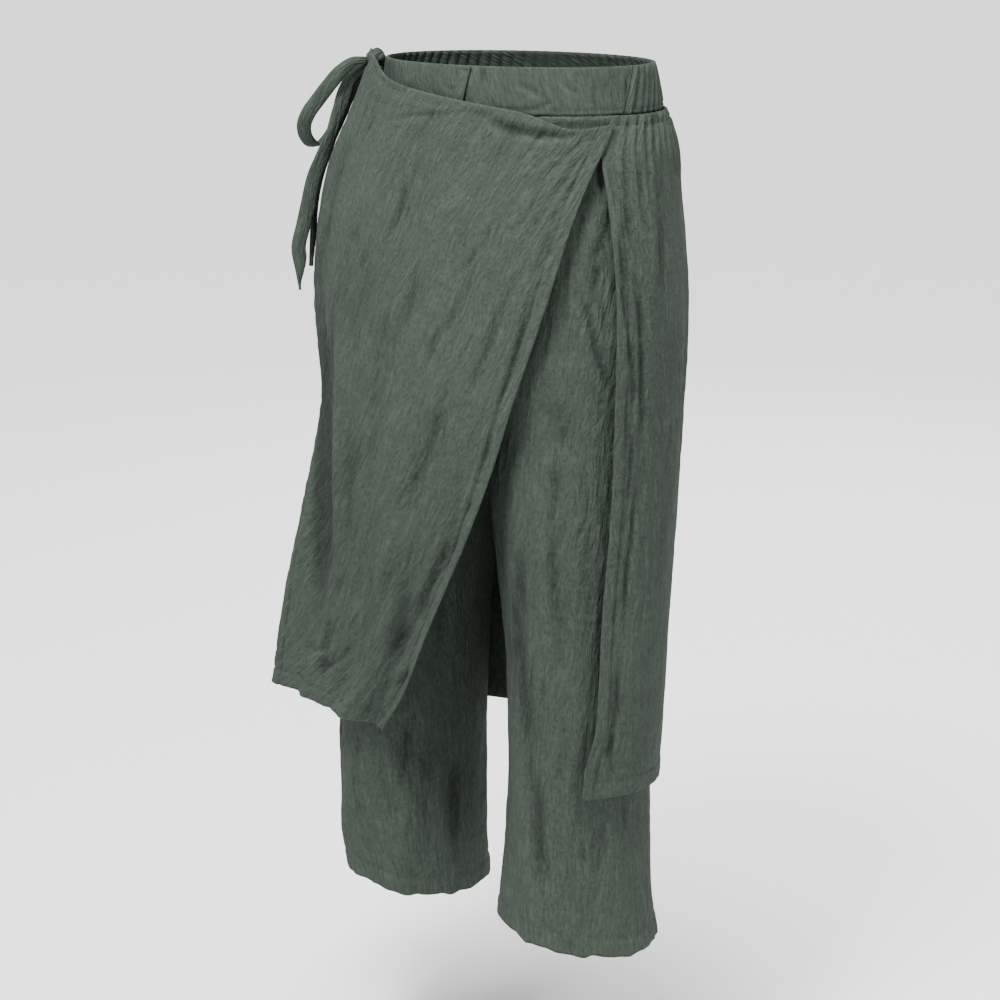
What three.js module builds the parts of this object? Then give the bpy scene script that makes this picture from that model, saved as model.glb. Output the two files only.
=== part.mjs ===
// Wrap pants, worn form, in millimetres, +Z up: the front faces -Y and the wearer's left is +X.
// The origin is the middle of the waist opening, half-way up the waistband.
// The cloth is a set of thin walls: four trouser panels, a two-piece waistband, a front wrap panel that
// crosses to the right hip, a back wrap panel that starts at the left side, and the ties that join them.
import * as THREE from "three";

// Driving sizes
const BAND_HEIGHT = 40;
const BAND_WALL = 3;
const CLOTH_WALL = 2;
const HEM_RAISE = 0.7;
const SEAM_GAP = 0.3;
const CORNER_GAP = 0.6;
const LEG_CLEARANCE = 3.2;
const CROTCH_DROP = 300;
const CROTCH_CURVE = 120;
const THIGH_TUCK_FRONT = 13;
const THIGH_TUCK_BACK = 20;
const TROUSER_DROP = 787;
const TROUSER_HEM = 17;
const HEM_STEP = 1.5;
const HEM_TILT_START = 600;
const HEM_TILT_X = 0.16;
const HEM_TILT_Y = 0.1;
const BACK_WRAP_DROP = 634;
const WRAP_SAG = 9;
const GATHERS = 38;
const GATHER_HEIGHT = 2.2;
const WRAP_GATHER_HEIGHT = 2.6;
const TIE_WIDTH = 14;
const TIE_WALL = 1.6;
const TIE_CUP = 1.5;
const KNOT = { x: -134, y: -40, z: 17, half: 9, depth: 10.5, height: 9, azimuth: 20 };
const BELT_LOOP = { topTurn: 9, bottomTurn: 6, top: 19, length: 36, width: 8, wall: 1.6, out: 2.1, bow: 1.2 };
const CLOTH_COLOUR = 0x52604f;
const BAND_COLOUR = 0x566454;

const UP = new THREE.Vector3(0, 0, 1);
const BAND_TOP = BAND_HEIGHT / 2;
const BAND_BOTTOM = -BAND_HEIGHT / 2;
const PANEL_TOP = BAND_BOTTOM - SEAM_GAP;

// The hull is the oval that the hips and the hanging cloth fill, at each height: its half width, its
// depth to the front and to the back, and the shift of its middle.
const HULL = [
  { z: 20, half: 132, front: 97, back: 98, x: 0, y: 0 },
  { z: -20, half: 140, front: 103, back: 106, x: 0, y: 0 },
  { z: -70, half: 157, front: 110, back: 120, x: -3, y: -1 },
  { z: -130, half: 171, front: 116, back: 131, x: -6, y: -3 },
  { z: -205, half: 179, front: 119, back: 137, x: -8, y: -5 },
  { z: -300, half: 180, front: 118, back: 134, x: -10, y: -7 },
  { z: -450, half: 179, front: 112, back: 125, x: -12, y: -11 },
  { z: -640, half: 176, front: 104, back: 114, x: -14, y: -14 },
  { z: -800, half: 172, front: 98, back: 106, x: -15, y: -15 },
];

// How far the trousers lie inside the hull above the crotch.
const EASE = [
  { z: -20, by: 1 },
  { z: -60, by: 3.5 },
  { z: -110, by: 5.5 },
  { z: -210, by: 9 },
  { z: -300, by: 16 },
];

// The legs below the crotch: the distance of each leg's inner side from the middle, its half width and
// its depth.
const LEGS = [
  { z: -300, rightGap: 0, rightHalf: 82, rightDepth: 92, leftGap: 0, leftHalf: 82, leftDepth: 92 },
  { z: -345, rightGap: 11, rightHalf: 77.5, rightDepth: 92, leftGap: 9, leftHalf: 77, leftDepth: 89 },
  { z: -405, rightGap: 24, rightHalf: 72.5, rightDepth: 91, leftGap: 20, leftHalf: 71.5, leftDepth: 85 },
  { z: -500, rightGap: 37, rightHalf: 67, rightDepth: 87, leftGap: 32, leftHalf: 65.5, leftDepth: 79 },
  { z: -620, rightGap: 39, rightHalf: 65.5, rightDepth: 82, leftGap: 34, leftHalf: 64.5, leftDepth: 74 },
  { z: -740, rightGap: 36, rightHalf: 65.5, rightDepth: 80, leftGap: 31, leftHalf: 69.5, leftDepth: 77 },
  { z: -800, rightGap: 33, rightHalf: 61.5, rightDepth: 79, leftGap: 28, leftHalf: 75, leftDepth: 82 },
];

// The front wrap panel, from its top edge down. Each row runs from the free edge (on the wearer's left)
// to the tied edge (on the right hip): height and turn of both ends, and the stand-off from the hull.
const WRAP_STATIONS = [0, 0.25, 0.5, 0.7, 0.85, 1];
const WRAP = [
  { at: 0, freeZ: -27, tiedZ: 14, freeTurn: 68.5, tiedTurn: -62, out: [5.5, 8, 8, 9, 13, 14] },
  { at: 0.07, freeZ: -68, tiedZ: -28, freeTurn: 56.5, tiedTurn: -71, out: [6, 6, 7, 11, 22, 19] },
  { at: 0.14, freeZ: -107, tiedZ: -70, freeTurn: 49, tiedTurn: -75, out: [6, 6, 7, 14, 28, 20] },
  { at: 0.26, freeZ: -178, tiedZ: -145, freeTurn: 40.3, tiedTurn: -75, out: [7, 7, 8, 14, 25, 19] },
  { at: 0.39, freeZ: -254, tiedZ: -224, freeTurn: 32, tiedTurn: -73, out: [8, 7, 8, 12, 18, 19] },
  { at: 0.53, freeZ: -334, tiedZ: -307, freeTurn: 24.2, tiedTurn: -68, out: [8, 7, 8, 12, 15, 18] },
  { at: 0.66, freeZ: -412, tiedZ: -388, freeTurn: 14.5, tiedTurn: -61.5, out: [4, 5, 8, 12, 18, 30] },
  { at: 0.83, freeZ: -506, tiedZ: -486, freeTurn: 0, tiedTurn: -61, out: [-2, 2, 7, 14, 31, 52] },
  { at: 0.92, freeZ: -560, tiedZ: -543, freeTurn: -9, tiedTurn: -60.2, out: [-5, 3, 10, 22, 40, 62] },
  { at: 1, freeZ: -606, tiedZ: -592, freeTurn: -21, tiedTurn: -59, out: [-8, 11, 25, 37, 50, 69] },
];

// The back wrap panel's front edge and end edge, as turns from the front, at each height.
const BACK_WRAP = [
  { z: -20, edge: 69, end: 262, out: 2 },
  { z: -50, edge: 62, end: 262, out: 4.5 },
  { z: -90, edge: 62.4, end: 261, out: 1 },
  { z: -150, edge: 64, end: 260, out: -1.5 },
  { z: -250, edge: 64.5, end: 259, out: -5 },
  { z: -360, edge: 64.5, end: 259, out: -7 },
  { z: -460, edge: 62.4, end: 258, out: -7 },
  { z: -566, edge: 61.2, end: 257, out: -6.5 },
  { z: -604, edge: 57.5, end: 257, out: -6.5 },
  { z: -640, edge: 56, end: 257, out: -6.5 },
];

// The waistband's front piece ends at the sides on slanting seams.
const BAND_SEAMS = [
  { z: 20, left: 86, right: -86 },
  { z: -20, left: 76, right: -78 },
];

// Value of a column at a place along a table, on a smooth curve through its rows.
function along(rows, key, column, place) {
  const direction = Math.sign(rows[rows.length - 1][key] - rows[0][key]);
  const last = rows.length - 1;
  let i = 0;
  while (i < last - 1 && (place - rows[i + 1][key]) * direction > 0) i += 1;
  const read = (k) => (typeof column === "number" ? rows[k].out[column] : rows[k][column]);
  const slope = (k) => {
    const before = Math.max(k - 1, 0);
    const after = Math.min(k + 1, last);
    return (read(after) - read(before)) / (rows[after][key] - rows[before][key]);
  };
  const span = rows[i + 1][key] - rows[i][key];
  const t = THREE.MathUtils.clamp((place - rows[i][key]) / span, 0, 1);
  const rise = t * t * (3 - 2 * t);
  const start = t * (1 - t) * (1 - t) * span * slope(i);
  const finish = t * t * (t - 1) * span * slope(i + 1);
  return read(i) * (1 - rise) + read(i + 1) * rise + start + finish;
}

// Soft bump that is 1 in the middle and fades out over its width.
function bump(distance, width) {
  return Math.exp(-((distance / width) ** 2));
}

// Point on the hull at a turn from the front, in degrees, moved out by a stand-off.
function onHull(turn, z, out) {
  const angle = THREE.MathUtils.degToRad(turn);
  const facing = Math.cos(angle);
  const depth = along(HULL, "z", facing > 0 ? "front" : "back", z) + out;
  const half = along(HULL, "z", "half", z) + out;
  const x = along(HULL, "z", "x", z) + half * Math.sin(angle);
  const y = along(HULL, "z", "y", z) - depth * facing;
  return new THREE.Vector3(x, y, z);
}

// Nearest place to a point, along the line to the knot's middle, that is a gap clear of the knot.
function seatAtKnot(point, gap) {
  const middle = new THREE.Vector3(KNOT.x, KNOT.y, KNOT.z);
  const away = point.clone().sub(middle);
  const turned = away.clone().applyAxisAngle(UP, -THREE.MathUtils.degToRad(KNOT.azimuth));
  const reach = Math.hypot(
    turned.x / (KNOT.half + gap),
    turned.y / (KNOT.depth + gap),
    turned.z / (KNOT.height + gap),
  );
  return middle.addScaledVector(away, 1 / reach);
}

// Size of one trouser half at a height. side is -1 for the wearer's right and 1 for the left. open is
// the cosine of the angle at which the half-oval starts: 0 above the crotch and 1 on a whole leg.
function trouserHalf(side, z) {
  const name = side < 0 ? "right" : "left";
  const open = THREE.MathUtils.smoothstep(-z, CROTCH_DROP - CROTCH_CURVE, CROTCH_DROP);
  const legZ = Math.min(z, -CROTCH_DROP);
  const hipZ = Math.max(z, -CROTCH_DROP);
  const gap = along(LEGS, "z", name + "Gap", legZ);
  const ease = along(EASE, "z", "by", hipZ);
  const hipReach = along(HULL, "z", "half", hipZ) - ease;
  const half = z < -CROTCH_DROP ? along(LEGS, "z", name + "Half", z) : hipReach / (1 + open);
  const legDepth = along(LEGS, "z", name + "Depth", legZ);
  const legShare = THREE.MathUtils.smoothstep(-z, CROTCH_DROP, CROTCH_DROP + 110);
  const hipFront = along(HULL, "z", "front", hipZ) - ease - THIGH_TUCK_FRONT * open;
  const hipBack = along(HULL, "z", "back", hipZ) - ease - THIGH_TUCK_BACK * open;
  return {
    open,
    half,
    middleX: along(HULL, "z", "x", z) + side * (gap + half * open),
    middleY: along(HULL, "z", "y", z),
    front: THREE.MathUtils.lerp(hipFront, legDepth, legShare),
    back: THREE.MathUtils.lerp(hipBack, legDepth, legShare),
  };
}

// Moves a point sideways until it is clear of both legs by the given distance.
function clearOfLegs(point, distance) {
  for (const side of [-1, 1]) {
    const leg = trouserHalf(side, point.z);
    const dx = point.x - leg.middleX;
    const dy = point.y - leg.middleY;
    const depth = dy < 0 ? leg.front : leg.back;
    const reach = Math.hypot(dx / (leg.half + distance), dy / (depth + distance));
    if (reach < 1 && leg.open > 0 && side * dx > -leg.half * leg.open) {
      point.x = leg.middleX + dx / reach;
      point.y = leg.middleY + dy / reach;
    }
  }
  return point;
}

// Rows cut down to the points between their first and last one.
function trimmed(rows) {
  return rows.map((row) => row.slice(1, -1));
}

// Faces between neighbouring rows, whose lengths may differ.
function strips(rows) {
  const starts = [];
  let total = 0;
  for (const row of rows) {
    starts.push(total);
    total += row.length;
  }
  const faces = [];
  for (let r = 0; r < rows.length - 1; r += 1) {
    const a = rows[r].length - 1;
    const b = rows[r + 1].length - 1;
    let i = 0;
    let j = 0;
    while (i < a || j < b) {
      const top = starts[r] + i;
      const low = starts[r + 1] + j;
      if (j >= b || (i < a && (i + 1) * b <= (j + 1) * a)) {
        faces.push([top, low, top + 1]);
        i += 1;
      } else {
        faces.push([top, low, low + 1]);
        j += 1;
      }
    }
  }
  return { starts, faces };
}

// Outward directions at the points of rows, averaged over the faces that meet there.
function directions(rows) {
  const outer = rows.flat();
  const { faces } = strips(rows);
  const normals = outer.map(() => new THREE.Vector3());
  const ab = new THREE.Vector3();
  const ac = new THREE.Vector3();
  for (const [a, b, c] of faces) {
    ab.subVectors(outer[b], outer[a]);
    ac.subVectors(outer[c], outer[a]);
    ab.cross(ac);
    for (const k of [a, b, c]) normals[k].add(ab);
  }
  let k = 0;
  return rows.map((row) => row.map(() => normals[k++].normalize()));
}

// Closed wall from rows of points on its outer face. Thickness is taken inwards along the face's own
// normals. On a seamed wall the first and last point of each row lie past the seam: they only steer the
// normals, so that neighbouring panels meet square. A level wall has its top and bottom edge cut level.
function wall(allRows, thickness, { seamed = false, level = false } = {}) {
  const allNormals = directions(allRows);
  if (level) {
    for (const normal of [...allNormals[0], ...allNormals.at(-1)]) normal.setZ(0).normalize();
  }
  const rows = seamed ? trimmed(allRows) : allRows;
  const normals = (seamed ? trimmed(allNormals) : allNormals).flat();
  const { starts, faces } = strips(rows);
  const outer = rows.flat();
  const inner = outer.map((p, k) => p.clone().addScaledVector(normals[k], -thickness));
  const shift = outer.length;
  const closed = [];
  for (const [a, b, c] of faces) {
    closed.push([a, b, c]);
    closed.push([a + shift, c + shift, b + shift]);
  }
  const rim = [];
  const lastRow = rows.length - 1;
  for (let k = 0; k < rows[0].length - 1; k += 1) rim.push([starts[0] + k + 1, starts[0] + k]);
  for (let r = 0; r < lastRow; r += 1) rim.push([starts[r], starts[r + 1]]);
  for (let k = 0; k < rows[lastRow].length - 1; k += 1) {
    rim.push([starts[lastRow] + k, starts[lastRow] + k + 1]);
  }
  for (let r = lastRow; r > 0; r -= 1) {
    rim.push([starts[r] + rows[r].length - 1, starts[r - 1] + rows[r - 1].length - 1]);
  }
  for (const [a, b] of rim) {
    closed.push([a, a + shift, b]);
    closed.push([b, a + shift, b + shift]);
  }
  const geometry = new THREE.BufferGeometry();
  const points = [...outer, ...inner];
  geometry.setAttribute("position", new THREE.Float32BufferAttribute(points.flatMap((p) => [...p]), 3));
  geometry.setIndex(closed.flat());
  geometry.computeVertexNormals();
  return geometry;
}

// Even steps from start to finish, both included.
function steps(count, start, finish) {
  return Array.from({ length: count + 1 }, (_, k) => start + ((finish - start) * k) / count);
}

// The same with one more step past each end, for seamed walls.
function stepsPast(count, start, finish) {
  const step = (finish - start) / count;
  return steps(count + 2, start - step, finish + step);
}

// Folds on the legs: soft ridges or troughs on a line from one turn and height to another. The turn is
// counted on the leg itself, from its inner seam (0) round the front to the side seam (180).
const LEG_FOLDS = [
  { side: -1, fromTurn: 150, fromZ: -590, toTurn: 118, toZ: -740, height: 3, width: 13 },
  { side: -1, fromTurn: 72, fromZ: -560, toTurn: 104, toZ: -690, height: 3.5, width: 12 },
  { side: -1, fromTurn: 62, fromZ: -620, toTurn: 88, toZ: -787, height: -4, width: 15 },
  { side: -1, fromTurn: 40, fromZ: -640, toTurn: 60, toZ: -787, height: 3, width: 12 },
  { side: 1, fromTurn: 70, fromZ: -330, toTurn: 44, toZ: -600, height: -4, width: 16 },
  { side: 1, fromTurn: 44, fromZ: -560, toTurn: 76, toZ: -787, height: -4, width: 15 },
  { side: 1, fromTurn: 112, fromZ: -600, toTurn: 96, toZ: -787, height: 3, width: 15 },
  { side: 1, fromTurn: 160, fromZ: -640, toTurn: 140, toZ: -787, height: -3, width: 14 },
  { side: -1, fromTurn: -60, fromZ: -330, toTurn: -76, toZ: -760, height: -4, width: 18 },
  { side: -1, fromTurn: -130, fromZ: -560, toTurn: -110, toZ: -787, height: 2.5, width: 16 },
  { side: 1, fromTurn: -64, fromZ: -320, toTurn: -80, toZ: -740, height: -4, width: 18 },
  { side: 1, fromTurn: -136, fromZ: -570, toTurn: -108, toZ: -787, height: 2.5, width: 16 },
];

// Height of all the leg folds at a turn on the leg and a height.
function legFolds(side, turn, z, radius) {
  let height = 0;
  for (const fold of LEG_FOLDS) {
    const share = (z - fold.fromZ) / (fold.toZ - fold.fromZ);
    if (fold.side !== side || share < 0 || fold.fromTurn * turn < 0) continue;
    const middle = fold.fromTurn + (fold.toTurn - fold.fromTurn) * share;
    const away = THREE.MathUtils.degToRad(turn - middle) * radius;
    height += fold.height * bump(away, fold.width) * Math.min(1, share * 3);
  }
  return height;
}

// Outer point of a trouser panel. across runs from the inner seam (0) to the side seam (1); face is 1
// on the front and -1 on the back.
function trouserPoint(side, face, across, z) {
  const leg = trouserHalf(side, z);
  const start = Math.acos(leg.open);
  const turn = start + (Math.PI - start) * across;
  const fold = legFolds(side, THREE.MathUtils.radToDeg(turn) * face, z, leg.half);
  const hem = z < -TROUSER_DROP + TROUSER_HEM ? HEM_RAISE : 0;
  const out = fold + hem;
  const depth = (face > 0 ? leg.front : leg.back) + out;
  const x = leg.middleX - side * ((leg.half + out) * Math.cos(turn) - SEAM_GAP / 2);
  const y = leg.middleY - face * (depth * Math.sin(turn) + SEAM_GAP / 2);
  const tilt = HEM_TILT_X * (x - leg.middleX) + HEM_TILT_Y * (y - leg.middleY);
  const share = THREE.MathUtils.smoothstep(-z, HEM_TILT_START, TROUSER_DROP);
  return new THREE.Vector3(x, y, z - tilt * share);
}

// Heights of a trouser panel's rows: wide apart on the hip and legs, close round the crotch curve.
function trouserHeights() {
  const curveTop = CROTCH_CURVE - CROTCH_DROP;
  const hemTop = TROUSER_HEM - TROUSER_DROP;
  const hip = steps(4, PANEL_TOP, curveTop);
  const curve = steps(6, curveTop, -CROTCH_DROP).slice(1);
  const leg = steps(11, -CROTCH_DROP, hemTop + HEM_STEP).slice(1);
  return [...hip, ...curve, ...leg, hemTop - HEM_STEP, -TROUSER_DROP];
}

// One trouser panel: front or back, right or left, with its turned hem.
function trouserPanel(side, face) {
  const COLUMNS = 12;
  const rows = trouserHeights().map((z) => {
    const row = stepsPast(COLUMNS, 0, 1).map((across) => trouserPoint(side, face, across, z));
    return side * face > 0 ? row : row.reverse();
  });
  return wall(rows, CLOTH_WALL, { seamed: true, level: true });
}

// Turn of the waistband seams at a height.
function bandSeam(name, z) {
  return along(BAND_SEAMS, "z", name, z);
}

// Front waistband: a plain double band, a little wrinkled.
function bandFront() {
  const COLUMNS = 30;
  const rows = steps(4, BAND_TOP, BAND_BOTTOM).map((z) =>
    stepsPast(COLUMNS, bandSeam("right", z), bandSeam("left", z)).map((turn) => {
      const wrinkle = 0.5 * Math.sin(turn * 0.16 + z * 0.05) * bump(z, BAND_HEIGHT * 0.4);
      return onHull(turn, z, wrinkle);
    }),
  );
  return wall(rows, BAND_WALL, { seamed: true, level: true });
}

// Wave of the gathers round the back, 0 in the troughs and 1 on the crests.
function gatherWave(share) {
  return 0.5 - 0.5 * Math.cos(share * GATHERS * 2 * Math.PI);
}

// Back waistband: elastic, gathered from the left seam round the back to the right seam.
function bandBack() {
  const seamTurn = THREE.MathUtils.radToDeg((2 * SEAM_GAP) / 110);
  const rows = steps(3, BAND_TOP, BAND_BOTTOM).map((z) => {
    const first = bandSeam("left", z) + seamTurn;
    const last = 360 + bandSeam("right", z) - seamTurn;
    const edge = 1 - (z / BAND_TOP) ** 2;
    return stepsPast(GATHERS * 4, 0, 1).map((share) =>
      onHull(first + (last - first) * share, z, 0.4 + GATHER_HEIGHT * gatherWave(share) * (0.7 + 0.3 * edge)),
    );
  });
  return wall(rows, BAND_WALL, { seamed: true, level: true });
}

// Folds of the front wrap panel: soft ridges or troughs on a line between two places, each given as the
// share across from the free edge and the share down from the top.
const WRAP_FOLDS = [
  { fromAcross: 0.06, fromDown: 0.4, toAcross: 0.1, toDown: 0.98, height: -3, width: 0.035 },
  { fromAcross: 0, fromDown: 0.5, toAcross: 0, toDown: 1, height: 4, width: 0.03 },
  { fromAcross: 0.2, fromDown: 0.62, toAcross: 0.16, toDown: 1.02, height: -9, width: 0.05 },
  { fromAcross: 0.3, fromDown: 0.5, toAcross: 0.33, toDown: 1.02, height: 5, width: 0.06 },
  { fromAcross: 0.44, fromDown: 0.3, toAcross: 0.5, toDown: 0.95, height: -3, width: 0.05 },
  { fromAcross: 0.62, fromDown: 0.35, toAcross: 0.72, toDown: 0.9, height: 4, width: 0.05 },
  { fromAcross: 0.78, fromDown: 0.1, toAcross: 0.83, toDown: 0.75, height: -4, width: 0.05 },
  { fromAcross: 0.9, fromDown: 0.12, toAcross: 0.93, toDown: 0.6, height: 4, width: 0.05 },
];

// Height of all the folds at a place on the front wrap panel.
function wrapFolds(across, down) {
  let height = 0;
  for (const fold of WRAP_FOLDS) {
    const share = (down - fold.fromDown) / (fold.toDown - fold.fromDown);
    if (share < 0) continue;
    const middle = fold.fromAcross + (fold.toAcross - fold.fromAcross) * share;
    height += fold.height * bump(across - middle, fold.width) * Math.min(1, share * 2.5);
  }
  return height;
}

// Outer point of the front wrap panel. Its top edge sags a little between the waist and the tied corner,
// and the corner is drawn to the knot.
function wrapPoint(across, down) {
  const freeTurn = along(WRAP, "at", "freeTurn", down);
  const tiedTurn = along(WRAP, "at", "tiedTurn", down);
  const freeZ = along(WRAP, "at", "freeZ", down);
  const tiedZ = along(WRAP, "at", "tiedZ", down);
  const stations = WRAP_STATIONS.map((at, k) => ({ at, out: along(WRAP, "at", k, down) }));
  const out = along(stations, "at", "out", across) + wrapFolds(across, down);
  const sag = WRAP_SAG * bump(across - 0.14, 0.09) * Math.max(0, 1 - down * 6);
  const z = freeZ + (tiedZ - freeZ) * across - sag;
  const point = onHull(freeTurn + (tiedTurn - freeTurn) * across, z, out);
  const corner = onHull(WRAP[0].tiedTurn, WRAP[0].tiedZ, WRAP[0].out.at(-1));
  const drawn = seatAtKnot(corner, CORNER_GAP).sub(corner);
  point.addScaledVector(drawn, bump(1 - across, 0.05) * bump(down, 0.05));
  return clearOfLegs(point, CLOTH_WALL + LEG_CLEARANCE);
}

// The front wrap panel, cut on a slant at its free edge.
function wrapPanel() {
  const COLUMNS = 32;
  const ROWS = 22;
  const rows = steps(ROWS, 0, 1).map((down) =>
    steps(COLUMNS, 1, 0).map((across) => wrapPoint(across, down)),
  );
  return wall(rows, CLOTH_WALL);
}

// Flutes in which the back wrap panel hangs: turn, strength and width in degrees.
const FLUTES = [
  { turn: 84, height: 2.5, width: 7 },
  { turn: 101, height: -3, width: 7 },
  { turn: 118, height: 5, width: 9 },
  { turn: 139, height: -4, width: 8 },
  { turn: 158, height: 5, width: 9 },
  { turn: 180, height: -5, width: 9 },
  { turn: 203, height: 6, width: 9 },
  { turn: 224, height: -4, width: 8 },
  { turn: 243, height: 5, width: 8 },
];

// Back wrap panel: outer point at a share round from its front edge, at a height.
function backWrapPoint(share, z) {
  const edge = along(BACK_WRAP, "z", "edge", z);
  const end = along(BACK_WRAP, "z", "end", z);
  const turn = edge + (end - edge) * share;
  const fromEdge = THREE.MathUtils.smoothstep(turn - edge, 2, 16);
  const gathered = THREE.MathUtils.smoothstep(z, -118, -30) * (0.3 + 0.7 * fromEdge);
  const gather = WRAP_GATHER_HEIGHT * gatherWave(share) * gathered;
  const loose = THREE.MathUtils.smoothstep(-z, 60, 520);
  let flute = 0;
  for (const each of FLUTES) flute += each.height * bump(turn - each.turn, each.width) * loose;
  const base = 2 + (along(BACK_WRAP, "z", "out", z) - 2) * fromEdge;
  const standing = Math.max(z > -60 ? 1.6 : 0, base + gather + flute);
  return clearOfLegs(onHull(turn, z, standing), CLOTH_WALL + LEG_CLEARANCE);
}

// The back wrap panel, gathered into the waistband, with fewer points where it hangs smooth.
function backWrapPanel() {
  const GATHER_ROWS = [PANEL_TOP, -34, -52, -80];
  const LOWER_COLUMNS = 54;
  const rows = GATHER_ROWS.map((z) =>
    steps(GATHERS * 4, 0, 1).map((share) => backWrapPoint(share, z)),
  );
  for (const z of steps(9, -120, -BACK_WRAP_DROP)) {
    rows.push(steps(LOWER_COLUMNS, 0, 1).map((share) => backWrapPoint(share, z)));
  }
  return wall(rows, CLOTH_WALL, { level: true });
}

// Belt loop on the front waistband, a narrow strip from edge to edge.
function beltLoop() {
  const spread = THREE.MathUtils.radToDeg(BELT_LOOP.width / HULL[0].front);
  const rows = steps(6, 0, 1).map((share) => {
    const z = BELT_LOOP.top - BELT_LOOP.length * share;
    const turn = THREE.MathUtils.lerp(BELT_LOOP.topTurn, BELT_LOOP.bottomTurn, share);
    const out = BELT_LOOP.out + BELT_LOOP.bow * Math.sin(share * Math.PI);
    return steps(2, turn - spread / 2, turn + spread / 2).map((each) => onHull(each, z, out));
  });
  return wall(rows, BELT_LOOP.wall);
}

// Paths of the ties: points along the middle of each strip, with the way its width lies, as the azimuth
// from +X and the lean from level, both in degrees. The ends at the knot come straight out of it.
const TIE_PATHS = {
  tie_back_strap: [
    { x: -142.3, y: 15.3, z: -11.5, azimuth: 72, lean: 50 },
    { x: -142.3, y: 3.8, z: -5.0, azimuth: 73, lean: 50 },
    { x: -140.5, y: -9.2, z: 3.0, azimuth: 74, lean: 48 },
    { x: -136.8, y: -23.6, z: 11.0, azimuth: 75, lean: 44 },
  ],
  bow_loop_front: [
    { x: -144, y: -61, z: 14, azimuth: 39, lean: -46 },
    { x: -151, y: -69, z: 6, azimuth: 39, lean: -42 },
    { x: -161, y: -76, z: -8, azimuth: 39, lean: -38 },
    { x: -171, y: -80, z: -21, azimuth: 39, lean: -36 },
    { x: -180, y: -83, z: -33, azimuth: 38, lean: -28 },
    { x: -187, y: -82, z: -45, azimuth: 36, lean: -14 },
    { x: -190, y: -76, z: -57, azimuth: 34, lean: -2 },
    { x: -190, y: -67, z: -64, azimuth: 32, lean: 8 },
    { x: -189, y: -57, z: -62, azimuth: 30, lean: 10 },
    { x: -187, y: -50, z: -51, azimuth: 28, lean: 0 },
    { x: -184, y: -47, z: -36, azimuth: 24, lean: -8 },
    { x: -178, y: -47, z: -20, azimuth: 22, lean: -20 },
    { x: -168, y: -46, z: -3, azimuth: 22, lean: -32 },
    { x: -157, y: -45, z: 11, azimuth: 24, lean: -40 },
  ],
  bow_loop_back: [
    { x: -151, y: -23, z: 20, azimuth: -10, lean: -20 },
    { x: -163, y: -11, z: 15, azimuth: -20, lean: -16 },
    { x: -173, y: -3, z: 3, azimuth: -26, lean: -10 },
    { x: -179, y: 1, z: -17, azimuth: -30, lean: -6 },
    { x: -180, y: 4, z: -36, azimuth: -30, lean: 0 },
    { x: -176, y: 10, z: -45, azimuth: -30, lean: 0 },
    { x: -170, y: 14, z: -36, azimuth: -30, lean: -4 },
    { x: -167, y: 11, z: -16, azimuth: -28, lean: -8 },
    { x: -162, y: 3, z: 4, azimuth: -22, lean: -12 },
    { x: -155, y: -12, z: 8, azimuth: -14, lean: -16 },
  ],
  tie_tail_long: [
    { x: -150, y: -57, z: -2, azimuth: 39, lean: -36 },
    { x: -157, y: -62, z: -16, azimuth: 39, lean: -26 },
    { x: -161, y: -69, z: -32, azimuth: 39, lean: -12 },
    { x: -162, y: -76, z: -50, azimuth: 39, lean: -12 },
    { x: -165, y: -83, z: -69, azimuth: 39, lean: -22 },
    { x: -170, y: -88, z: -90, azimuth: 39, lean: -26 },
    { x: -176, y: -91, z: -115, azimuth: 40, lean: -22 },
    { x: -180, y: -93, z: -135, azimuth: 42, lean: -16 },
    { x: -184, y: -96, z: -156, azimuth: 44, lean: -4 },
    { x: -182, y: -94, z: -176, azimuth: 44, lean: 4 },
    { x: -179, y: -92, z: -195, azimuth: 44, lean: 8 },
  ],
  tie_tail_short: [
    { x: -150, y: -47, z: -4, azimuth: 46, lean: -30 },
    { x: -159, y: -52, z: -18, azimuth: 56, lean: -22 },
    { x: -166, y: -55, z: -37, azimuth: 76, lean: -14 },
    { x: -173, y: -58, z: -56, azimuth: 94, lean: -10 },
    { x: -179, y: -62, z: -77, azimuth: 100, lean: -8 },
    { x: -182, y: -68, z: -98, azimuth: 106, lean: -6 },
    { x: -184, y: -72, z: -120, azimuth: 110, lean: -3 },
    { x: -186, y: -73, z: -148, azimuth: 112, lean: 0 },
    { x: -186, y: -76, z: -176, azimuth: 114, lean: 0 },
  ],
};

// How each tie is made: its steps, the share of its width left where the knot bunches it, at its start
// and its finish, how much of its end is cut away on the slant, and which ends lie at the knot.
const TIES = {
  tie_back_strap: { segments: 10, start: 1, finish: 0.5, cut: 0, fromKnot: false, toKnot: true },
  bow_loop_front: { segments: 30, start: 0.5, finish: 0.5, cut: 0, fromKnot: true, toKnot: true },
  bow_loop_back: { segments: 26, start: 0.5, finish: 0.5, cut: 0, fromKnot: true, toKnot: true },
  tie_tail_long: { segments: 22, start: 0.5, finish: 1, cut: 0.8, fromKnot: true, toKnot: false },
  tie_tail_short: { segments: 20, start: 0.5, finish: 1, cut: 0.5, fromKnot: true, toKnot: false },
};

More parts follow.
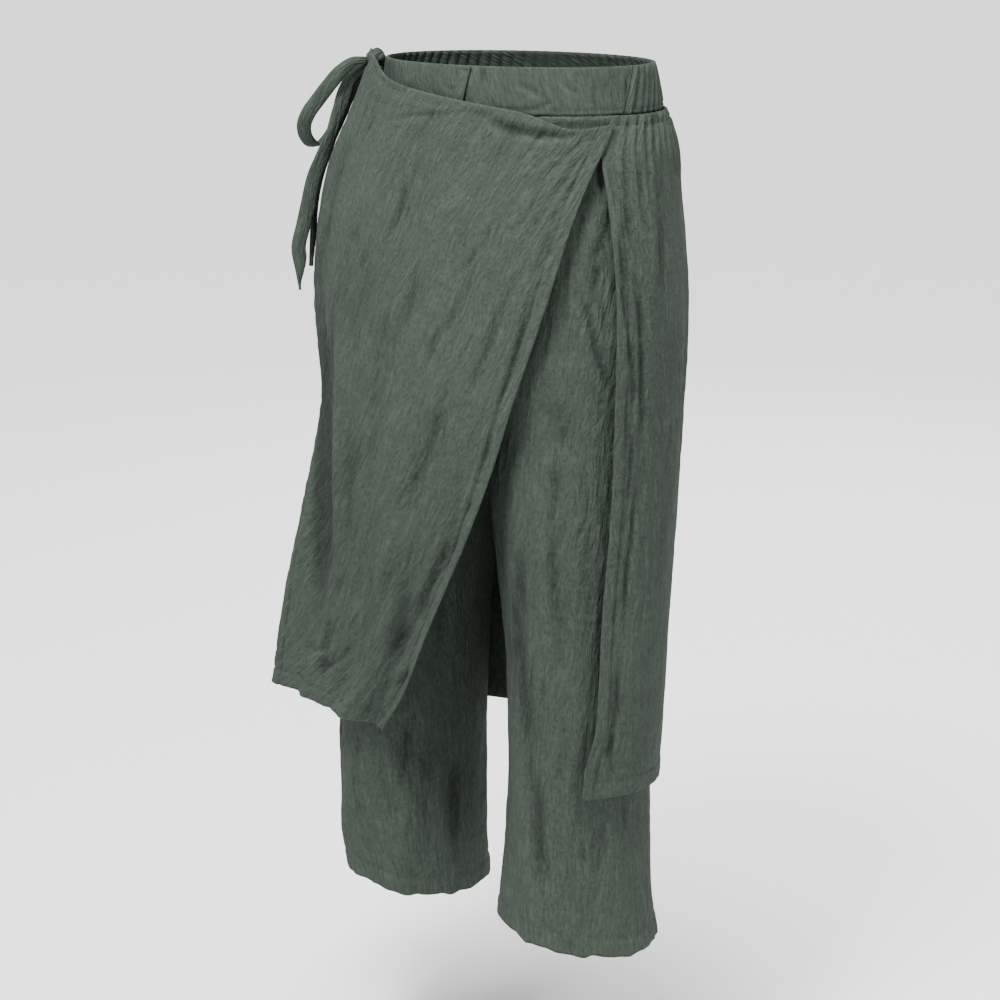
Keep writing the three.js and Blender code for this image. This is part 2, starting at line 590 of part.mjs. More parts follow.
// Knot of the bow: a slightly flattened ball with a soft groove.
function knot() {
  const ball = new THREE.SphereGeometry(1, 18, 12);
  const position = ball.getAttribute("position");
  const point = new THREE.Vector3();
  for (let k = 0; k < position.count; k += 1) {
    point.fromBufferAttribute(position, k);
    const groove = 1 - 0.05 * bump(point.x + 0.35 * point.z, 0.25);
    point.multiplyScalar(groove);
    position.setXYZ(k, point.x, point.y, point.z);
  }
  ball.deleteAttribute("normal");
  ball.deleteAttribute("uv");
  ball.scale(KNOT.half, KNOT.depth, KNOT.height);
  ball.rotateZ(THREE.MathUtils.degToRad(KNOT.azimuth));
  ball.translate(KNOT.x, KNOT.y, KNOT.z);
  ball.computeVertexNormals();
  return ball;
}

// Flat ribbon along one of the paths, cupped along its middle.
function ribbon(name) {
  const path = [...TIE_PATHS[name]];
  const { segments, start, finish, cut, fromKnot, toKnot } = TIES[name];
  if (fromKnot) path.unshift(path[0]);
  if (toKnot) path.push(path.at(-1));
  const points = path.map((p) => new THREE.Vector3(p.x, p.y, p.z));
  if (fromKnot) points[0] = seatAtKnot(points[0], SEAM_GAP);
  if (toKnot) points.push(seatAtKnot(points.pop(), SEAM_GAP));
  const curve = new THREE.CatmullRomCurve3(points, false, "centripetal");
  const rows = steps(segments, 0, 1).map((share) => {
    const middle = curve.getPoint(share);
    const run = curve.getTangent(share);
    const place = share * (path.length - 1);
    const k = Math.min(Math.floor(place), path.length - 2);
    const read = (column) =>
      THREE.MathUtils.degToRad(THREE.MathUtils.lerp(path[k][column], path[k + 1][column], place - k));
    const level = Math.cos(read("lean"));
    const across = new THREE.Vector3(
      Math.cos(read("azimuth")) * level,
      Math.sin(read("azimuth")) * level,
      Math.sin(read("lean")),
    );
    across.addScaledVector(run, -across.dot(run)).normalize();
    const up = new THREE.Vector3().crossVectors(run, across);
    const narrow = Math.min(1, start + share * 3, finish + (1 - share) * 3);
    const right = 0.5 - cut * THREE.MathUtils.smoothstep(share, 0.85, 1);
    return steps(2, -0.5, right).map((each, column) =>
      middle
        .clone()
        .addScaledVector(across, each * TIE_WIDTH * narrow)
        .addScaledVector(up, column === 1 ? TIE_CUP : 0),
    );
  });
  return wall(rows, TIE_WALL);
}

const garment = new THREE.Group();

function add(name, geometry, color) {
  const material = new THREE.MeshStandardMaterial({ color, roughness: 0.92, metalness: 0 });
  const mesh = new THREE.Mesh(geometry, material);
  mesh.name = name;
  garment.add(mesh);
}

add("trouser_front_right", trouserPanel(-1, 1), CLOTH_COLOUR);
add("trouser_front_left", trouserPanel(1, 1), CLOTH_COLOUR);
add("trouser_back_right", trouserPanel(-1, -1), CLOTH_COLOUR);
add("trouser_back_left", trouserPanel(1, -1), CLOTH_COLOUR);
add("waistband_front", bandFront(), BAND_COLOUR);
add("waistband_back", bandBack(), BAND_COLOUR);
add("belt_loop", beltLoop(), BAND_COLOUR);
add("wrap_front", wrapPanel(), CLOTH_COLOUR);
add("wrap_back", backWrapPanel(), CLOTH_COLOUR);
add("tie_knot", knot(), CLOTH_COLOUR);
for (const name of Object.keys(TIES)) add(name, ribbon(name), CLOTH_COLOUR);

export default garment;
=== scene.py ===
"""Wrap pants in crinkled sage cotton: cloth shells, hems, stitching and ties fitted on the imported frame."""
import math

import bpy
import numpy as np
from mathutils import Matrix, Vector


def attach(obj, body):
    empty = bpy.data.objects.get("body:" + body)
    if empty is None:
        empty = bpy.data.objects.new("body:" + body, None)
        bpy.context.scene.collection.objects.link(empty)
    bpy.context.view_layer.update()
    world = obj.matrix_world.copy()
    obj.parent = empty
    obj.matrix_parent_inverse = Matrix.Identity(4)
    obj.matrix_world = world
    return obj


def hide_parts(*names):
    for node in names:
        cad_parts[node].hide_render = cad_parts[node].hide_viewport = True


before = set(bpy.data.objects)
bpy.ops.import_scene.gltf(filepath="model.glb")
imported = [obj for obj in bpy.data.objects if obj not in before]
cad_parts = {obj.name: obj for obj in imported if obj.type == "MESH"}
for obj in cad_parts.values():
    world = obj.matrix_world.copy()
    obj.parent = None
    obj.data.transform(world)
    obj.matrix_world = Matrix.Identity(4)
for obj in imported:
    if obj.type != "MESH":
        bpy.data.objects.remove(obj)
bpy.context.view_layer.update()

# Driving sizes, in millimetres like every table and shape function below; meshes are made in metres.
MM = 0.001
BAND_TOP = 20.0
BAND_BOTTOM = -20.2
PANEL_TOP = -20.3
BAND_THICKNESS = 2.4
CLOTH_THICKNESS = 0.9
SEAM_GAP = 0.3
SEAM_CLOSED = 0.12  # by which each sewn edge of the trousers passes the seam
CORNER_GAP = 0.6
LEG_GAP = 5.2
CROTCH_DROP = 300.0
CROTCH_CURVE = 120.0
THIGH_TUCK_FRONT = 13.0
THIGH_TUCK_BACK = 20.0
TROUSER_DROP = 787.0
TROUSER_HEM = 17.0
HEM_TILT_START = 600.0
HEM_TILT_X = 0.16
HEM_TILT_Y = 0.1
BACK_WRAP_DROP = 634.0
WRAP_SAG = 9.0
WRAP_HEM = 11.0
WRAP_LIFT = 15.0  # of the front wrap's top edge, near the knot
GATHERS = 38
GATHER_HEIGHT = 2.2
WRAP_GATHER_HEIGHT = 2.6
TIE_WIDTH = 14.0
TIE_THICKNESS = 1.4
TIE_CUP = 1.5
TOPSTITCH = 8.7
BAND_STITCH = 5.5  # from a band's lower edge to its sewn line
STITCH_PITCH = 3.2
BELT_LOOP = {"turn": 9, "lean": 3, "width": 8.0, "top": 19, "length": 36, "out": 2.5, "crown": 1.2, "fold": 3}
KNOT_MEAN_RADIUS = 9.2

# Rows and columns of the grids that the pieces are made on.
FRONT_GRID = (280, 180)
BACK_GRID = (220, 140)
WRAP_FRONT_GRID = (296, 256)
WRAP_BACK_GRID = (230, 320)
BAND_ROWS = 24
BAND_FRONT_COLUMNS = 260
BAND_BACK_COLUMNS = 608
LOOP_GRID = (48, 12)
KNOT_GRID = (40, 64)
TIE_COLUMNS = 16
TOP_ROWS_CLOSER = 1.15  # power that sets the back wrap's rows closer at its top


def table(names, *rows):
    """Rows of numbers as named columns."""
    return {name: np.array(column, float) for name, column in zip(names.split(), zip(*rows))}


# The oval that the hips and the hanging cloth fill, at each height.
HULL = table(
    "z half front back x y",
    (20, 132, 97, 98, 0, 0),
    (-20, 140, 103, 106, 0, 0),
    (-70, 157, 110, 120, -3, -1),
    (-130, 171, 116, 131, -6, -3),
    (-205, 179, 119, 137, -8, -5),
    (-300, 180, 118, 134, -10, -7),
    (-450, 179, 112, 125, -12, -11),
    (-640, 176, 104, 114, -14, -14),
    (-800, 172, 98, 106, -15, -15),
)

# How far the trousers lie inside that oval above the crotch.
EASE = table("z by", (-20, 1), (-60, 3.5), (-110, 5.5), (-210, 9), (-300, 16))

# The legs below the crotch: distance from the middle, half width and depth.
LEG_RIGHT = table(
    "z gap half depth",
    (-300, 0, 82, 92),
    (-345, 11, 77.5, 92),
    (-405, 24, 72.5, 91),
    (-500, 37, 67, 87),
    (-620, 39, 65.5, 82),
    (-740, 36, 65.5, 80),
    (-800, 33, 61.5, 79),
)
LEG_LEFT = table(
    "z gap half depth",
    (-300, 0, 82, 92),
    (-345, 9, 77, 89),
    (-405, 20, 71.5, 85),
    (-500, 32, 65.5, 79),
    (-620, 34, 64.5, 74),
    (-740, 31, 69.5, 77),
    (-800, 28, 75, 82),
)
LEGS = {-1: LEG_RIGHT, 1: LEG_LEFT}

# The front wrap panel at each share down: both ends' height and turn, and its stand-off from the oval at
# six places across, from the free edge to the tied one.
WRAP = table(
    "at free_z tied_z free_turn tied_turn out_0 out_1 out_2 out_3 out_4 out_5",
    (0, -27, 14, 68.5, -62, 5.5, 8, 8, 9, 13, 14),
    (0.07, -68, -28, 56.5, -71, 6, 6, 7, 11, 22, 19),
    (0.14, -107, -70, 49, -75, 6, 6, 7, 14, 28, 20),
    (0.26, -178, -145, 40.3, -75, 7, 7, 8, 14, 25, 19),
    (0.39, -254, -224, 32, -73, 8, 7, 8, 12, 18, 19),
    (0.53, -334, -307, 24.2, -68, 8, 7, 8, 12, 15, 18),
    (0.66, -412, -388, 14.5, -61.5, 4, 5, 8, 12, 18, 30),
    (0.83, -506, -486, 0, -61, -2, 2, 7, 14, 31, 52),
    (0.92, -560, -543, -9, -60.2, -5, 3, 10, 22, 40, 62),
    (1, -606, -592, -21, -59, -8, 11, 25, 37, 50, 69),
)
WRAP_STATIONS = np.array([0, 0.25, 0.5, 0.7, 0.85, 1])

# The back wrap panel's two edges, as turns from the front, and its stand-off.
BACK_WRAP = table(
    "z edge end out",
    (-20, 69, 262, 2),
    (-50, 62, 262, 4.5),
    (-90, 62.4, 261, 1),
    (-150, 64, 260, -1.5),
    (-250, 64.5, 259, -5),
    (-360, 64.5, 259, -7),
    (-460, 62.4, 258, -7),
    (-566, 61.2, 257, -6.5),
    (-604, 57.5, 257, -6.5),
    (-640, 56, 257, -6.5),
)
BAND_SEAMS = table("z left right", (20, 86, -86), (-20, 76, -78))

# Folds on the legs. The turn is counted on the leg from its inner seam round the front, or round the back
# where it is negative.
LEG_FOLDS = table(
    "side from_turn from_z to_turn to_z height width",
    (-1, 150, -590, 118, -740, 3, 13),
    (-1, 72, -560, 104, -690, 3.5, 12),
    (-1, 62, -620, 88, -787, -4, 15),
    (-1, 40, -640, 60, -787, 3, 12),
    (1, 70, -330, 44, -600, -4, 16),
    (1, 44, -560, 76, -787, -4, 15),
    (1, 112, -600, 96, -787, 3, 15),
    (1, 160, -640, 140, -787, -3, 14),
    (-1, -60, -330, -76, -760, -4, 18),
    (-1, -130, -560, -110, -787, 2.5, 16),
    (1, -64, -320, -80, -740, -4, 18),
    (1, -136, -570, -108, -787, 2.5, 16),
)

# Large folds of the front wrap panel, between two places given as the shares across and down.
WRAP_FOLDS = table(
    "from_across from_down to_across to_down height width",
    (0.06, 0.4, 0.1, 0.98, -3, 0.035),
    (0, 0.5, 0, 1, 4, 0.03),
    (0.2, 0.62, 0.16, 1.02, -9, 0.05),
    (0.3, 0.5, 0.33, 1.02, 5, 0.06),
    (0.44, 0.3, 0.5, 0.95, -3, 0.05),
    (0.62, 0.35, 0.72, 0.9, 4, 0.05),
    (0.78, 0.1, 0.83, 0.75, -4, 0.05),
    (0.9, 0.12, 0.93, 0.6, 4, 0.05),
)

# Flutes in which the back wrap panel hangs.
FLUTES = table(
    "turn height width",
    (84, 2.5, 7),
    (101, -3, 7),
    (118, 5, 9),
    (139, -4, 8),
    (158, 5, 9),
    (180, -5, 9),
    (203, 6, 9),
    (224, -4, 8),
    (243, 5, 8),
)

# Creases, as soft troughs (below 0) or ridges, between two places in millimetres on the flat cloth: across
# from the first edge, down from the top, how far the middle bows sideways, height, and half width.
CREASES = "from_across from_down to_across to_down bow height width"
WRAP_CREASES = table(
    CREASES,
    (52, 190, 74, 380, -4, -0.8, 5),
    (92, 150, 140, 290, 4, 0.8, 8),
    (140, 330, 182, 470, -6, -1.0, 9),
    (188, 190, 205, 250, 2, -0.8, 4),
    (228, 130, 236, 290, -3, -0.8, 6),
    (214, 500, 236, 585, 2, -1.2, 6),
    (120, 560, 150, 596, -2, -1.6, 5),
    (92, 540, 118, 598, 2, -1.8, 5),
    (270, 60, 284, 210, 3, -1.4, 6),
    (300, 120, 292, 330, -4, 1.2, 8),
    (286, 340, 300, 560, 4, -1.4, 7),
)
FRONT_LEG_CREASES = table(
    CREASES,
    (176, 60, 150, 170, 5, -2, 7),
    (168, 120, 206, 260, -6, -2.6, 7),
    (120, 250, 196, 300, -5, -1.2, 7),
    (110, 310, 70, 350, 4, -1, 6),
    (60, 330, 96, 470, 5, -1.3, 6),
    (150, 360, 140, 520, -4, -1.1, 7),
    (30, 300, 54, 420, 5, -1.6, 6),
    (34, 430, 40, 640, 4, -1.4, 7),
    (92, 520, 80, 700, -5, 1.4, 9),
    (170, 540, 160, 690, 4, -1.3, 8),
    (120, 600, 128, 740, 3, -1.2, 7),
    (196, 620, 188, 748, -3, 1.2, 7),
    (60, 650, 72, 752, 2, -1.4, 6),
)
BACK_LEG_CREASES = table(
    CREASES,
    (40, 230, 120, 330, 8, -2.4, 8),
    (30, 280, 90, 400, 6, -2, 7),
    (190, 120, 140, 240, -5, -1.5, 8),
    (60, 420, 84, 610, 5, -1.6, 8),
    (150, 400, 132, 600, -5, -1.4, 8),
    (180, 520, 190, 700, 3, 1.3, 9),
    (110, 610, 100, 750, -3, -1.5, 7),
    (50, 660, 44, 752, 2, 1.3, 6),
)
BACK_WRAP_CREASES = table(
    CREASES,
    (26, 20, 16, 130, 3, -2.2, 4),
    (20, 130, 27, 300, -2, -2.6, 3.2),
    (27, 300, 22, 470, 2, -2.2, 3.2),
    (20, 470, 16, 600, -2, -1.8, 3.2),
    (60, 90, 46, 190, 4, -1.2, 6),
    (70, 260, 62, 420, 3, -1.1, 6),
    (96, 150, 104, 330, -4, -1.4, 8),
    (140, 60, 128, 220, 5, -1.9, 7),
    (170, 320, 184, 560, 5, -2.2, 9),
    (210, 90, 226, 260, -5, -1.9, 8),
    (250, 300, 240, 590, 5, -2, 9),
    (290, 70, 302, 230, 4, -2, 7),
    (330, 260, 318, 500, -5, -2.2, 9),
    (380, 100, 372, 330, 5, -1.8, 8),
    (410, 330, 424, 590, 4, -2, 8),
    (470, 60, 456, 200, -4, -2.2, 7),
    (486, 240, 494, 520, 3, -1.8, 7),
)

# The same for creases that the photograph shows, between two of its pixels.
SEEN_WRAP_CREASES = table(
    CREASES,
    (606, 132, 556, 166, 5, -1.5, 4.5),
    (594, 150, 548, 212, 5, -1.2, 4),
    (570, 160, 524, 196, 3, -1.1, 4),
    # The next trough lies under the rolled top edge; its depth darkens the colour there as the roll's painted
    # shadow.
    (620, 120, 470, 110, -20, -3.4, 5.5),
    (560, 200, 530, 285, -3, -1.6, 3.5),
    (532, 280, 496, 412, -4, -1.7, 3.5),
    (497, 405, 458, 540, -5, -1.7, 3.5),
    (455, 536, 430, 592, 2, -2.8, 5),
    (434, 580, 390, 668, 3, -3, 8),
    (406, 176, 384, 246, -4, -2.2, 3.5),
    (368, 250, 360, 276, 1, -1.6, 3),
    (498, 212, 451, 282, -5, -1.5, 3.5),
    (440, 326, 429, 368, 2, -1.6, 3),
    (446, 388, 388, 526, -8, -1.9, 12),
    # The next ridge and the deep trough beside it make the fold at the panel's left; the trough's depth
    # darkens the colour beyond the fold as painted shade.
    (339, 320, 337, 585, 2, 3.2, 4),
    (325, 300, 320, 640, 2, -5.5, 9),
    (311, 506, 298, 592, -3, -1.4, 3.5),
    (480, 115, 372, 124, 5, -1.0, 2.4),
    (470, 148, 440, 214, 5, -0.9, 4),
    (430, 136, 412, 190, 3, -0.8, 4),
    (520, 160, 470, 236, 6, 0.8, 6),
    (476, 262, 430, 352, -5, -1.3, 6),
    (420, 250, 396, 340, -4, -1.4, 5),
    (392, 300, 372, 420, 3, -1.4, 6),
    (500, 300, 470, 392, -4, -1.4, 5),
    (404, 400, 380, 480, 3, 1.3, 7),
    (352, 420, 350, 560, 2, -1.4, 6),
    (372, 560, 352, 660, -3, -1.6, 6),
    (330, 620, 322, 694, 2, -1.6, 5),
    (404, 560, 376, 650, -3, 1.6, 7),
    (412, 668, 398, 690, 1, -2.4, 5),
)
SEEN_BACK_WRAP_CREASES = table(
    CREASES,
    (609, 155, 621, 224, 2, -3.2, 3.5),
    (621, 220, 629, 336, 2, -3.4, 3.2),
    (629, 330, 634, 424, -2, -3.0, 3.2),
    (633, 420, 622, 560, -2, -1.6, 3.5),
    (617, 660, 611, 790, 2, -2.2, 4),
    (640, 150, 652, 250, 3, -1.4, 4),
    (660, 160, 668, 300, 3, -1.4, 5),
    (650, 300, 656, 470, 2, 1.2, 5),
    (638, 520, 632, 700, -2, 1.2, 5),
)
SEEN_LEFT_LEG_CREASES = table(
    CREASES,
    (588, 290, 620, 408, 8, -2.4, 4.5),
    # The next trough darkens the colour in the hollow between the two wrap panels as painted shade.
    (601, 155, 603, 196, 1, -3, 4),
    (606, 262, 592, 300, 2, -1.4, 4),
    (600, 300, 612, 340, 2, -1.4, 4),
    # The next three troughs darken the colour down the inner side of the left leg as painted shade.
    (522, 540, 516, 680, 2, -2.8, 9),
    (514, 640, 526, 770, -4, -2.8, 10),
    (528, 748, 550, 900, 3, -2.4, 9),
    (560, 420, 552, 620, 3, -1.6, 6),
    (590, 440, 588, 640, 3, -1.2, 6),
    (606, 560, 596, 720, -3, -1.3, 6),
    (574, 640, 586, 800, 3, 1.0, 8),
    (622, 700, 626, 860, 2, -1.3, 6),
    (540, 620, 560, 760, -3, 1.0, 7),
)
SEEN_RIGHT_LEG_CREASES = table(
    CREASES,
    (342, 748, 358, 812, 2, 1.0, 6),
    (465, 700, 442, 760, -3, 1.0, 6),
    (470, 780, 455, 846, -5, 1.0, 6),
    (458, 744, 460, 862, 3, -2.8, 9),
    (418, 700, 400, 800, 3, -1.5, 7),
    (376, 730, 390, 830, -3, -1.8, 7),
    (430, 740, 424, 840, 2, -1.6, 6),
    (330, 720, 338, 800, 2, -1.8, 6),
)
SEEN_BAND_CREASES = table(
    CREASES,
    (400, 84, 430, 96, 2, -0.9, 3),
    (440, 82, 462, 92, 2, -0.9, 2.5),
    (510, 84, 548, 102, -3, -1, 3.5),
    (556, 78, 590, 96, 3, -0.9, 3),
    (596, 76, 600, 118, 3, -1.1, 3),
    # The next trough, right of the belt loop, darkens the colour there as the loop's painted shadow.
    (484, 66, 478, 104, 2, -1.6, 5),
    (628, 72, 632, 122, 2, -2.2, 2.6),
    (643, 72, 645, 122, 1, -2.2, 2.2),
    (520, 110, 560, 98, 3, -0.8, 3),
)

# Each sheet laid flat: its width and length in metres, and its area in square metres where it is no
# rectangle.
TROUSER_CUTS = {"front": (0.27, 0.81, 0.178), "back": (0.28, 0.82, 0.184)}
TIE_CUTS = {
    "tie_back_strap": (0.014, 0.054, 0.0007),
    "bow_loop_front": (0.014, 0.23, 0.0031),
    "bow_loop_back": (0.014, 0.2, 0.0027),
    "tie_tail_long": (0.014, 0.225, 0.0029),
    "tie_tail_short": (0.014, 0.2, 0.0027),
}

# Knot of the bow, and the ties: points along the middle of each strip, with the azimuth and lean of its
# width, in degrees.
KNOT = {"middle": (-134.0, -40.0, 17.0), "radii": (9.0, 10.5, 9.0), "azimuth": 20.0}
TIES = {}


PLAIN_TIE = {"segments": 180, "start": 1.0, "finish": 1.0, "cut": 0.0, "from_knot": False, "to_knot": False}


def tie(name, *rows, **made):
    """Keeps a tie's path and how it is made, where that differs from a plain tie."""
    TIES[name] = {"path": table("x y z azimuth lean", *rows), **PLAIN_TIE, **made}


tie(
    "tie_back_strap",
    (-142.3, 15.3, -11.5, 72, 50),
    (-142.3, 3.8, -5.0, 73, 50),
    (-140.5, -9.2, 3.0, 74, 48),
    (-136.8, -23.6, 11.0, 75, 44),
    segments=48,
    finish=0.5,
    to_knot=True,
)
tie(
    "bow_loop_front",
    (-144, -61, 14, 39, -46),
    (-151, -69, 6, 39, -42),
    (-161, -76, -8, 39, -38),
    (-171, -80, -21, 39, -36),
    (-180, -83, -33, 38, -28),
    (-187, -82, -45, 36, -14),
    (-190, -76, -57, 34, -2),
    (-190, -67, -64, 26, 8),
    (-187, -56, -62, 14, 10),
    (-183, -47, -51, 0, 0),
    (-180, -44, -36, -10, -8),
    (-174, -44, -20, -8, -20),
    (-164, -43, -3, 2, -32),
    (-156, -44, 11, 20, -40),
    start=0.5,
    finish=0.5,
    from_knot=True,
    to_knot=True,
)
tie(
    "bow_loop_back",
    (-151, -23, 20, -10, -20),
    (-163, -11, 15, -20, -16),
    (-173, -3, 3, -26, -10),
    (-179, 1, -17, -30, -6),
    (-180, 4, -36, -30, 0),
    (-176, 10, -45, -30, 0),
    (-170, 14, -36, -30, -4),
    (-167, 11, -16, -28, -8),
    (-162, 3, 4, -22, -12),
    (-155, -12, 8, -14, -16),
    start=0.5,
    finish=0.5,
    from_knot=True,
    to_knot=True,
)
tie(
    "tie_tail_long",
    (-150, -57, -2, 39, -36),
    (-155, -61, -16, 50, -26),
    (-157, -67, -32, 70, -12),
    (-158.7, -74, -50, 84, -12),
    (-163.3, -81.4, -69, 74, -22),
    (-170.1, -87.3, -90, 54, -26),
    (-175.9, -90.5, -115, 42, -22),
    (-180, -93, -135, 42, -16),
    (-184, -96, -156, 44, -4),
    (-182, -94, -176, 44, 4),
    (-179, -92, -195, 44, 8),
    start=0.5,
    cut=0.8,
    from_knot=True,
)
tie(
    "tie_tail_short",
    (-150, -47, -4, 46, -30),
    (-159, -52, -18, 56, -22),
    (-166, -55, -37, 76, -14),
    (-173, -58, -56, 94, -10),
    (-179, -62, -77, 100, -8),
    (-182, -68, -98, 106, -6),
    (-184, -72, -120, 110, -3),
    (-186, -73, -148, 112, 0),
    (-186, -76, -176, 114, 0),
    start=0.5,
    cut=0.5,
    from_knot=True,
)


def smoothstep(value, low, high):
    t = np.clip((value - low) / (high - low), 0, 1)
    return t * t * (3 - 2 * t)


def bump(distance, width):
    """1 in the middle, fading out over the width."""
    return np.exp(-((distance / width) ** 2))


def along(rows, column, place):
    """Value of a column at a place along a table's first column, on a smooth curve through its rows."""
    return curve(next(iter(rows.values())), rows[column], place)


def curve(keys, values, place):
    """The same for two plain lists of numbers."""
    place = np.asarray(place, float)
    direction = np.sign(keys[-1] - keys[0])
    last = len(keys) - 1
    i = np.clip(np.searchsorted(keys * direction, place * direction) - 1, 0, last - 1)
    before = np.maximum(np.arange(last + 1) - 1, 0)
    after = np.minimum(np.arange(last + 1) + 1, last)
    slope = (values[after] - values[before]) / (keys[after] - keys[before])
    span = keys[i + 1] - keys[i]
    t = np.clip((place - keys[i]) / span, 0, 1)
    rise = t * t * (3 - 2 * t)
    bend = t * (1 - t) * span * ((1 - t) * slope[i] - t * slope[i + 1])
    return values[i] * (1 - rise) + values[i + 1] * rise + bend


def noise(x, y, seed):
    """Smooth noise from -1 to 1 on a lattice of seeded random numbers."""
    lattice = np.random.default_rng(seed).uniform(-1, 1, (97, 97))
    x, y = np.broadcast_arrays(np.asarray(x, float), np.asarray(y, float))
    column, row = np.floor(x).astype(int), np.floor(y).astype(int)
    fx, fy = x - column, y - row
    fx, fy = fx * fx * (3 - 2 * fx), fy * fy * (3 - 2 * fy)
    c0, c1, r0, r1 = column % 97, (column + 1) % 97, row % 97, (row + 1) % 97
    top = lattice[r0, c0] * (1 - fx) + lattice[r0, c1] * fx
    low = lattice[r1, c0] * (1 - fx) + lattice[r1, c1] * fx
    return top * (1 - fy) + low * fy


def on_hull(turn, z, out):
    """Points on the oval at a turn from the front, in degrees, moved out by a stand-off."""
    angle = np.radians(turn)
    facing = np.cos(angle)
    depth = np.where(facing > 0, along(HULL, "front", z), along(HULL, "back", z)) + out
    half = along(HULL, "half", z) + out
    x = along(HULL, "x", z) + half * np.sin(angle)
    y = along(HULL, "y", z) - depth * facing
    return np.stack(np.broadcast_arrays(x, y, z), -1)


def trouser_half(side, z):
    """Size of one trouser half at each height, as in the solid panels."""
    opened = smoothstep(-z, CROTCH_DROP - CROTCH_CURVE, CROTCH_DROP)
    leg_z = np.minimum(z, -CROTCH_DROP)
    hip_z = np.maximum(z, -CROTCH_DROP)
    legs = LEGS[side]
    gap = along(legs, "gap", leg_z)
    ease = along(EASE, "by", hip_z)
    hip_half = (along(HULL, "half", hip_z) - ease) / (1 + opened)
    half = np.where(z < -CROTCH_DROP, along(legs, "half", leg_z), hip_half)
    depth = along(legs, "depth", leg_z)
    share = smoothstep(-z, CROTCH_DROP, CROTCH_DROP + 110)
    front = along(HULL, "front", hip_z) - ease - THIGH_TUCK_FRONT * opened
    back = along(HULL, "back", hip_z) - ease - THIGH_TUCK_BACK * opened
    return {
        "opened": opened,
        "half": half,
        "x": along(HULL, "x", z) + side * (gap + half * opened),
        "y": along(HULL, "y", z),
        "front": front * (1 - share) + depth * share,
        "back": back * (1 - share) + depth * share,
    }


def clear_of_legs(points, distance):
    """Moves points sideways until they are clear of both legs by a distance."""
    points = points.copy()
    for side in (-1, 1):
        leg = trouser_half(side, points[..., 2])
        dx = points[..., 0] - leg["x"]
        dy = points[..., 1] - leg["y"]
        depth = np.where(dy < 0, leg["front"], leg["back"])
        reach = np.hypot(dx / (leg["half"] + distance), dy / (depth + distance))
        inside = (reach < 1) & (leg["opened"] > 0) & (side * dx > -leg["half"] * leg["opened"])
        safe = np.where(inside, reach, 1)
        points[..., 0] = leg["x"] + dx / safe
        points[..., 1] = leg["y"] + dy / safe
    return points


def leg_folds(side, turn, z, radius):
    height = np.zeros(np.broadcast(turn, z).shape)
    for fold in zip(*LEG_FOLDS.values()):
        fold_side, from_turn, from_z, to_turn, to_z, rise, width = fold
        if fold_side != side:
            continue
        share = (z - from_z) / (to_z - from_z)
        middle = from_turn + (to_turn - from_turn) * share
        away = np.radians(turn - middle) * radius
        shown = (share > 0) & (from_turn * turn >= 0)
        height = height + np.where(shown, rise * bump(away, width) * np.clip(share * 3, 0, 1), 0)
    return height


def trouser_points(side, face, across, z):
    """Outer points of a trouser panel, from the inner seam (0) to the side seam (1)."""
    leg = trouser_half(side, z)
    start = np.arccos(np.clip(leg["opened"], 0, 1))
    turn = start + (math.pi - start) * across
    out = leg_folds(side, np.degrees(turn) * face, z, leg["half"])
    depth = leg["front" if face > 0 else "back"] + out
    x = leg["x"] - side * ((leg["half"] + out) * np.cos(turn) + SEAM_CLOSED)
    y = leg["y"] - face * (depth * np.sin(turn) - SEAM_CLOSED)
    tilt = HEM_TILT_X * (x - leg["x"]) + HEM_TILT_Y * (y - leg["y"])
    lowered = z - tilt * smoothstep(-z, HEM_TILT_START, TROUSER_DROP)
    return np.stack(np.broadcast_arrays(x, y, lowered), -1)


def seat_at_knot(point, gap):
    """Place on the line from a point to the knot's middle, a gap clear of the knot."""
    middle = np.array(KNOT["middle"])
    away = np.asarray(point, float) - middle
    turn = math.radians(KNOT["azimuth"])
    turned = (
        away[0] * math.cos(turn) + away[1] * math.sin(turn),
        away[1] * math.cos(turn) - away[0] * math.sin(turn),
        away[2],
    )
    reach = math.hypot(*(t / (radius + gap) for t, radius in zip(turned, KNOT["radii"])))
    return middle + away / reach


def wrap_folds(across, down):
    height = np.zeros(np.broadcast(across, down).shape)
    for fold in zip(*WRAP_FOLDS.values()):
        from_across, from_down, to_across, to_down, rise, width = fold
        share = (down - from_down) / (to_down - from_down)
        middle = from_across + (to_across - from_across) * share
        height = height + rise * bump(across - middle, width) * np.clip(share * 2.5, 0, 1)
    return height


def wrap_points(across, down):
    """Outer points of the front wrap panel at shares across from the free edge and down from the top."""
    outs = [along(WRAP, f"out_{k}", down) for k in range(len(WRAP_STATIONS))]
    out = np.empty(np.broadcast(across, down).shape)
    for r in range(out.shape[0]):
        values = np.array([each[r, 0] for each in outs])
        out[r] = curve(WRAP_STATIONS, values, across[0])
    free_turn, tied_turn = along(WRAP, "free_turn", down), along(WRAP, "tied_turn", down)
    free_z, tied_z = along(WRAP, "free_z", down), along(WRAP, "tied_z", down)
    out = out + wrap_folds(across, down)
    sag = WRAP_SAG * bump(across - 0.14, 0.09) * np.maximum(0, 1 - down * 6)
    z = free_z + (tied_z - free_z) * across - sag
    points = on_hull(free_turn + (tied_turn - free_turn) * across, z, out)
    corner = on_hull(WRAP["tied_turn"][0], WRAP["tied_z"][0], WRAP["out_5"][0])
    drawn = seat_at_knot(corner, CORNER_GAP) - corner
    share = bump(1 - across, 0.05) * bump(down, 0.05)
    lifted = np.array([0, 0, WRAP_LIFT]) * (bump(across - 0.85, 0.07) * bump(down, 0.07))[..., None]
    return clear_of_legs(points + share[..., None] * drawn + lifted, LEG_GAP)


def gather_wave(share):
    return 0.5 - 0.5 * np.cos(share * GATHERS * 2 * math.pi)


